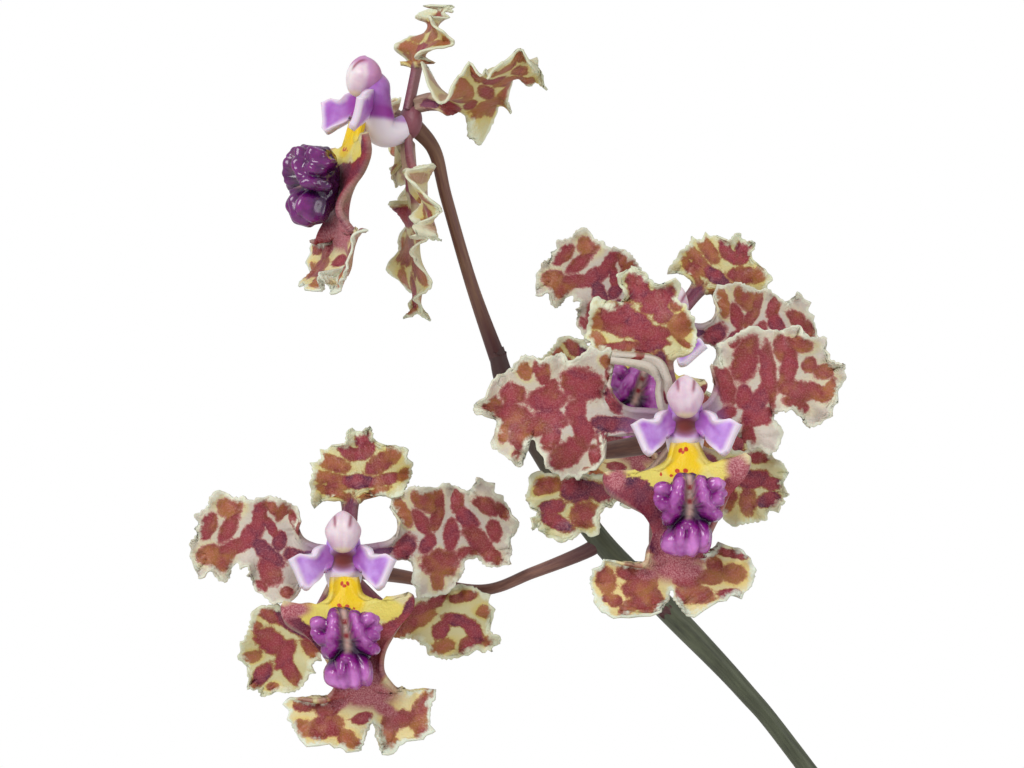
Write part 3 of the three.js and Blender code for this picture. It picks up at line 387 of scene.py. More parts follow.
# Velamen: the dry coat is silvery and paper-dull, pitted every 0.4 mm, and stained brown in patches.
velamen, tree, shader = finish("silver_root_coat", Roughness=0.8, IOR=1.4)
here = (node(tree, "TexCoord"), "Object")
patches = node(tree, "TexNoise", {"Scale": 160.0, "Detail": 6.0}, {"Vector": here})
silver = node(tree, "ValToRGB", links={"Fac": (patches, "Fac")},
              stops=[(0.36, "#8F8468"), (0.56, "#CFCEC0")])
pits = node(tree, "TexNoise", {"Scale": 2600.0, "Detail": 2.0}, {"Vector": here})
bump = node(tree, "Bump", {"Strength": 0.4, "Distance": 0.0002}, {"Height": (pits, "Fac")})
wire(shader, {"Base Color": (silver, "Color"), "Normal": (bump, "Normal")})

skins = []
for x, y, heading in ROOTS:
    near = min((leaf["at"] for leaf in LEAVES), key=lambda at: np.hypot(at[0] - x, at[1] - y))
    way = np.radians(heading)
    middle = ((near[0] + x) / 2 + 4 * np.sin(way), (near[1] + y) / 2 - 4 * np.cos(way), BARK["top"] + 5)
    end = (x + 6 * np.cos(way), y + 6 * np.sin(way), BARK["top"] - 6)
    along = np.linspace(0, 3, ROOT_GRID[0])
    path = through([(*near, BARK["top"] + 2), middle, (x, y, BARK["top"] + 3), end], along)
    thick = through([[ROOT_RADIUS], [ROOT_RADIUS], [ROOT_RADIUS], [0.7 * ROOT_RADIUS]], along)[:, 0]
    thick = thick * (1 + 0.05 * np.sin(7 * along + x) + 0.03 * np.sin(19 * along))
    skins.append(closed_rings(bar(path, thick, ROOT_GRID[1])))
roots = piece("aerial_roots", *joined(skins), velamen)
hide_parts("root_1", "root_2", "root_3", "root_4")
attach(roots, "root")

# Leaves: one stiff mule-ear blade on each bulb, thick as leather and folded to a keel along its middle.
# They are dull green, freckled red-brown, and darker on the sunny side.
LEAF_GRID = (110, 41)


def rim_of(at):
    """The numbers round the edge of a grid, in order from its first corner along its first row."""
    return np.concatenate([at[0, :-1], at[:-1, -1], at[-1, :0:-1], at[:0:-1, 0]])


def sheet(grid, thickness):
    """Points and faces of a thin closed body: a grid moved out by half its thickness both ways along its
    normal, which is (next across) x (next along), with a wall round the edge."""
    along = np.gradient(grid, axis=0)
    across = np.gradient(grid, axis=1)
    normal = np.cross(across, along)
    normal /= np.maximum(np.linalg.norm(normal, axis=2, keepdims=True), 1e-9)
    mean = normal.mean(axis=(0, 1))
    normal = normal + 0.15 * mean / np.linalg.norm(mean)
    normal /= np.linalg.norm(normal, axis=2, keepdims=True)
    half = np.broadcast_to(thickness, grid.shape[:2])[..., None] / 2
    points = np.concatenate([(grid + half * normal).reshape(-1, 3), (grid - half * normal).reshape(-1, 3)])
    front = np.arange(grid.shape[0] * grid.shape[1]).reshape(grid.shape[:2])
    back = front + front.size
    faces = np.stack([front[:-1, :-1], front[:-1, 1:], front[1:, 1:], front[1:, :-1]], axis=-1)
    behind = np.stack([back[:-1, :-1], back[1:, :-1], back[1:, 1:], back[:-1, 1:]], axis=-1)
    edge, hem = rim_of(front), rim_of(back)
    wall = np.stack([edge, hem, np.roll(hem, -1), np.roll(edge, -1)], axis=-1)
    return points, faces.reshape(-1, 4).tolist() + behind.reshape(-1, 4).tolist() + wall.tolist()


# Mule-ear leaf: thick waxy skin, mid gloss, with pores 0.5 mm apart. The freckles are a millimetre or two
# wide, and gather where the green is light. The edge is red-brown.
leaf_skin, tree, shader = finish("spotted_leaf_skin", Roughness=0.42, IOR=1.43)
here = (node(tree, "TexCoord"), "Object")
cloud = node(tree, "TexNoise", {"Scale": 22.0, "Detail": 5.0}, {"Vector": here})
green = node(tree, "ValToRGB", links={"Fac": (cloud, "Fac")}, stops=[(0.3, "#47522F"), (0.7, "#6A7446")])
wobble = node(tree, "TexNoise", {"Scale": 260.0, "Detail": 3.0}, {"Vector": here})
cells = node(tree, "TexVoronoi", {"Scale": 210.0}, {"Vector": here})
ragged = node(tree, "Math", {1: 0.3}, {0: (wobble, "Fac"), 2: (cells, "Distance")}, operation="MULTIPLY_ADD")
spot = node(tree, "MapRange", {"From Min": 0.38, "From Max": 0.5, "To Min": 1.0, "To Max": 0.0},
            {"Value": (ragged, "Value")})
gather = node(tree, "MapRange", {"From Min": 0.45, "From Max": 0.62}, {"Value": (cloud, "Fac")})
freckle = node(tree, "Math", links={0: (spot, "Result"), 1: (gather, "Result")}, operation="MULTIPLY")
hem = node(tree, "Attribute", attribute_name="edge")
freckled = node(tree, "Mix", {7: "#5C3328"}, {0: (freckle, "Value"), 6: (green, "Color")}, data_type="RGBA")
hemmed = node(tree, "Mix", {7: "#6E3B33"}, {0: (hem, "Fac"), 6: (freckled, 2)}, data_type="RGBA")
pores = node(tree, "TexVoronoi", {"Scale": 2000.0}, {"Vector": here})
relief = node(tree, "Math", {1: 6.0}, {0: (cloud, "Fac"), 2: (pores, "Distance")}, operation="MULTIPLY_ADD")
bump = node(tree, "Bump", {"Strength": 0.35, "Distance": 0.00015}, {"Height": (relief, "Value")})
wire(shader, {"Base Color": (hemmed, 2), "Normal": (bump, "Normal")})


def leaf_grid(leaf, t, q):
    """Points of a leaf, t along and q across: the middle line leans from upright by lean + arch t, its place
    is the mean of 24 directions times its length so far, its foot sinks 3 mm on to the bulb, and each half
    rises from the keel as a V that opens from 68 to about 20 degrees."""
    share = (np.arange(24) + 0.5)[:, None] / 24
    angle = np.radians(leaf["lean"] + leaf["arch"] * share * t)
    out = (np.sin(angle) * leaf["long"] * t / 24).sum(axis=0)[:, None]
    foot = BARK["top"] + BULB["height"] + 1.2 - 3.0 * (1 - ease(0, 0.12, t))
    high = (foot + (np.cos(angle) * leaf["long"] * t / 24).sum(axis=0))[:, None]
    tilt = np.radians(leaf["lean"] + leaf["arch"] * t)[:, None]
    outline = 0.17 * (1 - t) ** 2 + np.sin(np.pi * np.minimum(t, 0.995) ** 1.15) ** 0.75
    half = leaf["wide"] / 2 * outline[:, None]
    half = half * (1 + 0.012 * np.sin(23 * t[:, None] + leaf["heading"] + 2 * np.sign(q)))
    opened = np.radians(68 - 50 * ease(0, 0.3, t) + 6 * t)[:, None]
    bow = 1.2 * np.sin(np.pi * np.abs(q)) * ease(0.05, 0.4, t)[:, None]
    side = q * half * np.cos(opened)
    rise = np.abs(q) * half * np.sin(opened) + bow
    way = np.radians(leaf["heading"])
    away = out - np.cos(tilt) * rise
    return np.stack([
        leaf["at"][0] + np.cos(way) * away - np.sin(way) * side,
        leaf["at"][1] + np.sin(way) * away + np.cos(way) * side,
        high + np.sin(tilt) * rise,
    ], axis=-1)


for number, leaf in enumerate(LEAVES, 1):
    t = np.linspace(0, 1, LEAF_GRID[0])
    q = np.linspace(-1, 1, LEAF_GRID[1])
    ridge = 1 - np.abs(q)[None, :]
    thickness = 0.9 + 1.7 * ridge ** 0.8 * (1 - 0.6 * t[:, None])
    points, faces = sheet(leaf_grid(leaf, t, q[None, :]), thickness)
    edge = np.broadcast_to(0.8 * ease(0.965, 1.0, np.abs(q))[None, :], LEAF_GRID).ravel()
    ear = piece(f"mule_ear_leaf_{number}", points, faces, leaf_skin, {"edge": np.concatenate([edge, edge])})
    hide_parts(f"leaf_{number}")
    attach(ear, "root")

# Flower stem: one smooth green-brown scape that arches over to the spray, with a short clasping bract at
# each joint. It grows from the rhizome and is flushed dark on its sunny side.
SCAPE = [(-4, -3, 66), (-4, -3, 110), (-6, -1, 195), (-17, 5, 283), (-40, 11, 336), (-61.5, 13, 369),
         (-78.3, 13, 391.7), (-82.9, 12.9, 397.4), (-88.5, 12.6, 403.3), (-93.6, 12.1, 408.6),
         (-97.4, 12, 414.3), (-100.2, 12, 419.4), (-101.2, 12, 422.6)]
SCAPE_RADIUS = [3.0, 2.8, 2.3, 1.7, 1.2, 0.85, 0.66, 0.7, 0.88, 0.82, 0.8, 0.8, 0.6]
BRACTS = [(0.2, 1.0), (0.33, 0.8), (0.45, 0.6)]
BRACT = {"long": 7.5, "stand": 0.55, "sides": 40}
STALK_SIDES = 24
SCAPE_RINGS = 1200


def stalk_skin(name, dark, light, flushes):
    """A waxy green stalk in two colours, streaked along: noise on (along, round) with the length drawn out.
    Each flush is (none here, full here, colour), in quarters of the millimetres along."""
    made, tree, shader = finish(name, Roughness=0.45, IOR=1.42)
    way = node(tree, "Attribute", attribute_name="way")
    streaks = node(tree, "TexNoise", {"Scale": 1.6, "Detail": 5.0, "Roughness": 0.6},
                   {"Vector": (way, "Vector")})
    green = node(tree, "ValToRGB", links={"Fac": (streaks, "Fac")}, stops=[(0.25, dark), (0.8, light)])
    along = node(tree, "SeparateXYZ", links={"Vector": (way, "Vector")})
    flushed = (green, "Color")
    for none, full, tint in flushes:
        share = node(tree, "MapRange", {"From Min": none, "From Max": full, "To Max": 0.8},
                     {"Value": (along, "X")}, interpolation_type="SMOOTHSTEP")
        layer = node(tree, "Mix", {7: tint}, {0: (share, "Result"), 6: flushed}, data_type="RGBA")
        flushed = (layer, 2)
    bump = node(tree, "Bump", {"Strength": 0.3, "Distance": 0.00008}, {"Height": (streaks, "Fac")})
    wire(shader, {"Base Color": flushed, "Normal": (bump, "Normal")})
    return made


def ways(path, sides):
    """For each point of a bar: a quarter of the millimetres along, and 1.6 cos and 1.6 sin round it."""
    length = np.concatenate([[0], np.cumsum(np.linalg.norm(np.diff(path, axis=0), axis=1))])
    a = np.linspace(0, 2 * np.pi, sides, endpoint=False)
    grid = np.stack(np.broadcast_arrays(0.25 * length[:, None], 1.6 * np.cos(a), 1.6 * np.sin(a)), axis=-1)
    ends = np.array([[0, 0, 0], [0.25 * length[-1], 0, 0]])
    return np.concatenate([grid.reshape(-1, 3), ends])


# Scape skin: waxy and smooth, olive flushed with purple-brown, with streaks under half a millimetre wide.
scape_skin = stalk_skin("waxy_scape_skin", "#33362A", "#60664F", [(92.5, 94.5, "#46222A")])
x = np.linspace(0, len(SCAPE) - 1, SCAPE_RINGS)
axis = through(SCAPE, x)
thick = through(np.array(SCAPE_RADIUS)[:, None], x)[:, 0]
skins = [closed_rings(bar(axis, thick, STALK_SIDES))]
marks = [ways(axis, STALK_SIDES)]
for share, stand in BRACTS:
    begin = int(share * (len(axis) - 1))
    length = np.concatenate([[0], np.cumsum(np.linalg.norm(np.diff(axis[begin:], axis=0), axis=1))])
    rows = np.searchsorted(length, BRACT["long"] * thick[begin])
    along = (length[:rows] / length[rows])[:, None]
    a = np.linspace(0, 2 * np.pi, BRACT["sides"], endpoint=False)[None, :]
    lip_edge = 0.62 + 0.3 * np.cos(a)
    clasp = ease(-0.12, 0.25, along) * ease(lip_edge + 0.08, lip_edge - 0.04, along)
    flare = BRACT["stand"] * stand * np.sin(0.5 + 2.2 * along)
    swell = thick[begin:begin + rows, None] - 0.08 + clasp * (0.16 + flare)
    skins.append(closed_rings(bar(axis[begin:begin + rows], swell, BRACT["sides"])))
    marks.append(ways(axis[begin:begin + rows], BRACT["sides"]))
points, faces = joined(skins)
scape = piece("arching_flower_stem", points, faces, scape_skin, {"way": np.concatenate(marks)})
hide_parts("flower_stem")
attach(scape, "root")

# Blooms: each faces its own way round the middle of the spray. A pose swings a blade about the receptacle,
# folds it back, twists it about its length (all in degrees), stretches it and deepens its ruffles.
SPRAY = np.array([-100, 0, 420])
RECEPTACLE = {"at": (0, -0.6, -4.2), "radius": 1.5}
BLOOMS = {
    "front": {"at": (12.4, 0, -3.1), "turn": 0, "tilt": 0, "roll": 0, "size": 1, "form": "bold", "pose": {}},
    "lower": {
        "at": (-12.35, 8, -13.0), "turn": 0, "tilt": 0, "roll": 0, "size": 1, "form": "pale", "pose": {},
    },
    "upper": {
        "at": (-11.2, 5, 20.1), "turn": 67, "tilt": 6, "roll": 0, "size": 1, "form": "pale",
        "pose": {
            "dorsal": {"fold": 0, "twist": -4, "ruffle": 1.9, "stretch": 0.83},
            "petal_right": {"swing": 11, "fold": 34, "twist": 95, "stretch": 0.86, "ruffle": 1.2},
            "petal_left": {"swing": 36, "fold": 14, "stretch": 0.75},
            "sepal_right": {"swing": -20, "fold": -14, "twist": 25, "ruffle": 2},
            "sepal_left": {"swing": 26, "fold": 3, "stretch": 1.25, "ruffle": 1.6},
        },
    },
    "back": {
        "at": (11.4, 26, 4.2), "turn": 0, "tilt": 0, "roll": 25, "size": 0.97, "form": "pale",
        "pose": {
            "dorsal": {"swing": -12, "stretch": 1.06, "fold": 5},
            "petal_left": {"swing": 1, "stretch": 0.93},
            "petal_right": {"swing": 8},
        },
    },
}


def set_out(bloom, points):
    """Puts points of a bloom's own frame into the plant: spray + at + size (u right + v up + w out)."""
    turn, tilt, roll = (np.radians(bloom[key]) for key in ("turn", "tilt", "roll"))
    out = np.array([-np.sin(turn) * np.cos(tilt), -np.cos(turn) * np.cos(tilt), np.sin(tilt)])
    right = np.array([np.cos(turn), -np.sin(turn), 0])
    up = np.cross(out, right)
    u = np.cos(roll) * right - np.sin(roll) * up
    v = np.sin(roll) * right + np.cos(roll) * up
    return SPRAY + bloom["at"] + bloom["size"] * (points @ np.stack([u, v, out]))


# Pedicels: each bloom's own slim stalk, from a joint of the flower stem to the ovary at the bloom's back.
# They are smooth, waxy and purple-brown, darkest at the joint, and slightly ribbed and redder where they
# thicken into the ovary.
PEDICELS = {
    "front": {"from": (3.4, 12, -4.6),
              "by": [(6.4, 9.6, -4.9), (9.6, 6.2, -4.4)],
              "thick": [0.6, 0.62, 0.75, 0.8]},
    "lower": {"from": (5.6, 12.3, -12.3),
              "by": [(1.6, 14.2, -14.0), (-2.4, 16.2, -15.4), (-8.2, 16.6, -14.4)],
              "thick": [0.55, 0.44, 0.42, 0.5, 0.7]},
    "upper": {"from": (-1.2, 12, 2.3),
              "by": [(-3.0, 10.6, 7.4), (-4.8, 9.2, 13.6), (-5.7, 8.1, 17.1)],
              "thick": [0.62, 0.47, 0.45, 0.52, 0.7]},
    "back": {"from": (11.3, 12.6, -16.7),
             "by": [(11.2, 19, -15.6), (11.2, 30, -12.6), (11.6, 36, -6), (11.4, 35, 0.6)],
             "thick": [0.6, 0.6, 0.6, 0.65, 0.75, 0.85]},
}
PEDICEL_RINGS = 120
JOINT = (1.6, 0.2, "#46222A")
purple_skin = stalk_skin("waxy_purple_pedicel_skin", "#5A3638", "#966F5E", [JOINT, (4.5, 6.5, "#7E4A5A")])
olive_skin = stalk_skin("waxy_olive_pedicel_skin", "#5A3236", "#85654A", [JOINT, (4.5, 6.5, "#6E3848")])
for name, stalk in PEDICELS.items():
    bloom = BLOOMS[name]
    seat = set_out(bloom, np.array(RECEPTACLE["at"], float)) - SPRAY
    route = [np.array(point, float) + SPRAY for point in [stalk["from"], *stalk["by"], seat]]
    joint = axis[np.linalg.norm(axis - route[0], axis=1).argmin()]
    route.insert(0, joint + 0.3 * (joint - route[0]))
    x = np.linspace(0, len(route) - 1, PEDICEL_RINGS)
    path = through(route, x)
    a = np.linspace(0, 2 * np.pi, STALK_SIDES, endpoint=False)
    ribs = 1 + 0.05 * ease(0.6, 0.9, x / x[-1])[:, None] * np.cos(6 * a)
    thick = through(np.array([1.15 * stalk["thick"][0], *stalk["thick"]])[:, None], x) * ribs
    made = piece(f"{name}_bloom_pedicel", *closed_rings(bar(path, thick, STALK_SIDES)),
                 olive_skin if name == "upper" else purple_skin, {"way": ways(path, STALK_SIDES)})
    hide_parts(f"{name}_pedicel")
    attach(made, "root")

# Perianths: three sepals and two petals a bloom, grown together at the receptacle. Each narrows to a claw
# and has a crisped, finely toothed margin. Outlines are seen from the front: the two edges run from claw to
# tip, and spine is (edge point, u, v, w) of the middle line. The fold is a narrow strap beside the claw of
# the front bloom's left petal.
FORMS = {
    "pale": {
        "dorsal": {
            "left": [(-0.2, 0.4), (-0.1, 3.8), (-0.5, 4.4), (-1.4, 4.4), (-2.2, 4.1), (-2.6, 5.4),
                     (-2.4, 6.5), (-1.9, 7.5), (-1.0, 8.5), (0.1, 8.6), (0.4, 9.7), (0.8, 9.5)],
            "right": [(0.6, 0.4), (0.8, 3.9), (1.2, 4.4), (2.2, 4.7), (3.4, 4.7), (4.4, 5.3), (5.0, 6.3),
                      (4.8, 7.4), (4.0, 8.4), (2.4, 8.7), (1.9, 9.9), (1.4, 9.5)],
            "spine": [(0, 0.2, 0.4, -4.0), (1, 0.35, 3.8, -4.3), (5, 0.6, 5.9, -4.4), (11, 1.1, 9.5, -5.6)],
            "cup": (0.2, 0.5), "wave": 0.55, "waves": 3.2, "shift": 0.6,
        },
        "petal_left": {
            "left": [(-0.8, -0.1), (-2.3, -0.4), (-3.1, -1.3), (-3.5, -2.6), (-4.3, -3.2), (-5.5, -2.9),
                     (-6.8, -2.1), (-6.8, -1.1), (-7.4, -0.4), (-8.2, -0.4), (-8.9, -1.6), (-9.8, -0.9),
                     (-10.8, -1.4), (-11.5, 0.0)],
            "right": [(-0.8, 0.9), (-2.2, 1.1), (-3.1, 1.6), (-3.4, 2.5), (-3.3, 3.5), (-4.3, 4.4),
                      (-5.6, 4.8), (-6.8, 4.5), (-8.2, 4.7), (-9.7, 4.8), (-10.3, 3.9), (-11.0, 3.3),
                      (-10.8, 2.2), (-11.5, 1.3)],
            "spine": [(0, -0.8, 0.4, -3.8), (1, -2.2, 0.4, -3.7), (6, -5.8, 0.9, -3.9),
                      (13, -11.6, 0.6, -5.6)],
            "cup": (0.1, 0.4), "wave": 0.7, "waves": 3.6, "shift": 0.1,
        },
        "petal_right": {
            "left": [(0.8, 0.9), (2.3, 1.1), (3.4, 1.4), (4.0, 2.3), (3.8, 3.5), (3.4, 4.4), (4.8, 5.4),
                     (6.2, 5.2), (7.4, 5.7), (9.2, 5.2), (9.9, 6.2), (11.2, 5.0), (12.0, 4.1), (12.6, 2.9)],
            "right": [(0.8, 0.0), (2.5, 0.1), (3.6, 0.1), (4.6, 0.0), (5.2, -0.8), (5.2, -2.0), (6.0, -2.8),
                      (7.4, -2.3), (8.5, -1.4), (8.9, -0.2), (9.7, 0.1), (10.6, -0.6), (12.2, -0.3),
                      (12.1, 1.3)],
            "spine": [(0, 0.8, 0.4, -3.8), (1, 2.4, 0.6, -3.7), (6, 6.0, 1.3, -3.8), (13, 12.5, 2.1, -5.6)],
            "cup": (0.4, 0.1), "wave": 0.7, "waves": 3.8, "shift": 0.35,
        },
        "sepal_left": {
            "left": [(-0.4, -2.3), (-1.3, -5.4), (-1.6, -6.6), (-2.1, -7.3), (-2.5, -8.1), (-2.9, -9.1),
                     (-3.6, -9.7), (-4.5, -9.7), (-5.2, -10.0), (-6.3, -10.3)],
            "right": [(-0.8, -1.1), (-2.3, -3.7), (-3.4, -3.8), (-4.7, -3.5), (-6.0, -3.4), (-7.0, -4.5),
                      (-7.5, -5.8), (-7.9, -6.9), (-7.4, -8.2), (-7.3, -9.7)],
            "spine": [(0, -0.6, -1.7, -4.4), (1, -1.9, -4.6, -4.9), (9, -6.6, -9.8, -6.6)],
            "cup": (0.3, 0.3), "wave": 0.5, "waves": 2.8, "shift": 0.0,
        },
        "sepal_right": {
            "left": [(0.8, -1.2), (3.0, -3.2), (4.5, -3.4), (6.0, -2.7), (7.6, -2.0), (9.3, -1.9),
                     (10.3, -2.6), (11.0, -3.9), (10.7, -5.2), (11.3, -6.1)],
            "right": [(0.4, -2.2), (2.3, -4.6), (3.6, -5.5), (4.6, -5.9), (5.7, -6.2), (6.3, -7.1),
                      (7.4, -7.5), (8.7, -7.3), (9.7, -6.8), (10.9, -6.9)],
            "spine": [(0, 0.6, -1.7, -4.4), (1, 2.7, -3.9, -4.9), (9, 10.9, -6.4, -6.6)],
            "cup": (0.3, 0.3), "wave": 0.5, "waves": 2.8, "shift": 0.5,
        },
    },
    "bold": {
        "dorsal": {
            "left": [(-0.8, 0.4), (-1.9, 4.1), (-2.6, 5.1), (-4.6, 5.2), (-6.4, 5.6), (-7.0, 6.8),
                     (-6.8, 8.1), (-6.3, 9.2), (-5.2, 8.7), (-4.3, 9.4), (-4.9, 10.9), (-4.1, 11.4)],
            "right": [(0.0, 0.4), (-0.9, 4.0), (-0.7, 5.0), (0.5, 5.3), (1.0, 6.2), (0.9, 7.3), (0.4, 8.4),
                      (-0.3, 9.2), (-0.5, 10.4), (-1.7, 10.3), (-2.4, 10.8), (-3.2, 11.5)],
            "spine": [(0, -0.4, 0.4, -4.0), (1, -1.4, 4.0, -4.3), (5, -2.4, 7.2, -4.3),
                      (11, -3.6, 11.3, -5.4)],
            "cup": (0.3, 0.6), "wave": 0.6, "waves": 3.4, "shift": 0.2,
        },
        "petal_left": {
            "left": [(-0.8, -0.1), (-2.8, -0.4), (-4.6, -0.6), (-5.8, -0.8), (-5.6, -1.9), (-6.4, -3.1),
                     (-8.2, -3.6), (-9.8, -3.1), (-10.1, -2.0), (-11.1, -1.0), (-11.7, -2.9), (-12.6, -2.4),
                     (-13.7, -1.4), (-13.3, 0.1), (-14.8, 1.1)],
            "right": [(-0.8, 1.1), (-2.7, 1.2), (-4.2, 1.4), (-5.2, 2.4), (-5.3, 3.6), (-5.0, 5.1),
                      (-6.8, 5.6), (-8.4, 4.5), (-8.8, 5.4), (-10.2, 4.9), (-11.6, 5.2), (-12.5, 4.3),
                      (-13.7, 3.5), (-14.3, 2.3), (-14.9, 1.5)],
            "spine": [(0, -0.8, 0.5, -3.8), (2, -4.3, 0.5, -3.5), (7, -8.2, 0.9, -3.4),
                      (14, -14.9, 1.3, -5.2)],
            "cup": (0.3, 0.5), "wave": 0.75, "waves": 4.2, "shift": 0.0,
        },
        "fold": {
            "left": [(-0.9, 0.9), (-1.6, 1.2), (-1.9, 2.4), (-1.9, 3.4), (-2.6, 4.4), (-5.3, 4.8)],
            "right": [(-0.5, 1.0), (-0.8, 1.7), (-1.0, 2.4), (-1.2, 3.6), (-2.0, 5.0), (-5.2, 5.3)],
            "spine": [(0, -0.7, 0.95, -3.6), (2, -1.4, 2.4, -3.3), (3, -1.55, 3.5, -3.1),
                      (5, -5.3, 5.05, -3.2)],
            "cup": (0.5, 0.5), "wave": 0.2, "waves": 1.5, "shift": 0.0, "toothed": (2, 3),
        },
        "petal_right": {
            "left": [(0.8, 1.1), (1.9, 1.9), (2.3, 3.1), (1.9, 4.5), (2.7, 4.5), (2.7, 6.0), (4.2, 6.9),
                     (5.6, 7.1), (6.9, 7.0), (8.2, 7.4), (9.0, 6.6), (10.1, 6.4), (10.5, 5.0), (11.7, 4.5)],
            "right": [(0.8, 0.0), (2.5, 0.3), (3.5, 0.2), (4.1, -0.9), (5.2, -1.5), (6.6, -1.8),
                      (6.9, -0.5), (6.4, 0.5), (7.2, 1.2), (8.3, 0.9), (9.1, -0.1), (10.4, 0.5),
                      (11.0, 1.7), (11.4, 3.4)],
            "spine": [(0, 0.8, 0.6, -3.8), (1, 2.2, 1.0, -3.7), (6, 5.2, 2.9, -3.4), (13, 11.6, 4.0, -5.0)],
            "cup": (0.5, 0.1), "wave": 0.75, "waves": 3.9, "shift": 0.4,
        },
        "sepal_left": {
            "left": [(-0.4, -2.2), (-2.3, -4.8), (-3.8, -5.2), (-5.5, -5.7), (-6.1, -6.5), (-6.3, -7.7),
                     (-7.4, -7.8), (-8.6, -8.4), (-9.5, -8.2), (-10.3, -7.7)],
            "right": [(-0.8, -1.1), (-2.6, -3.1), (-4.4, -3.3), (-6.3, -3.4), (-8.4, -3.4), (-10.5, -3.4),
                      (-11.3, -4.6), (-11.4, -5.4), (-10.6, -6.3), (-11.0, -7.5)],
            "spine": [(0, -0.6, -1.6, -4.4), (1, -2.4, -3.9, -4.9), (9, -10.6, -7.4, -6.4)],
            "cup": (0.3, 0.3), "wave": 0.5, "waves": 2.8, "shift": 0.1,
        },
        "sepal_right": {
            "left": [(0.8, -1.1), (2.0, -1.7), (3.2, -1.7), (4.6, -1.7), (5.8, -1.6), (6.9, -2.4),
                     (7.7, -3.3), (7.3, -4.1), (7.7, -4.9)],
            "right": [(0.4, -2.2), (1.7, -4.4), (2.5, -5.6), (3.0, -6.6), (4.2, -7.0), (5.7, -6.9),
                      (6.3, -6.2), (6.9, -5.8), (7.4, -5.6)],
            "spine": [(0, 0.6, -1.6, -4.4), (1, 1.9, -3.0, -4.8), (8, 7.4, -5.2, -5.6)],
            "cup": (0.3, 0.3), "wave": 0.5, "waves": 2.6, "shift": 0.6,
        },
    },
}
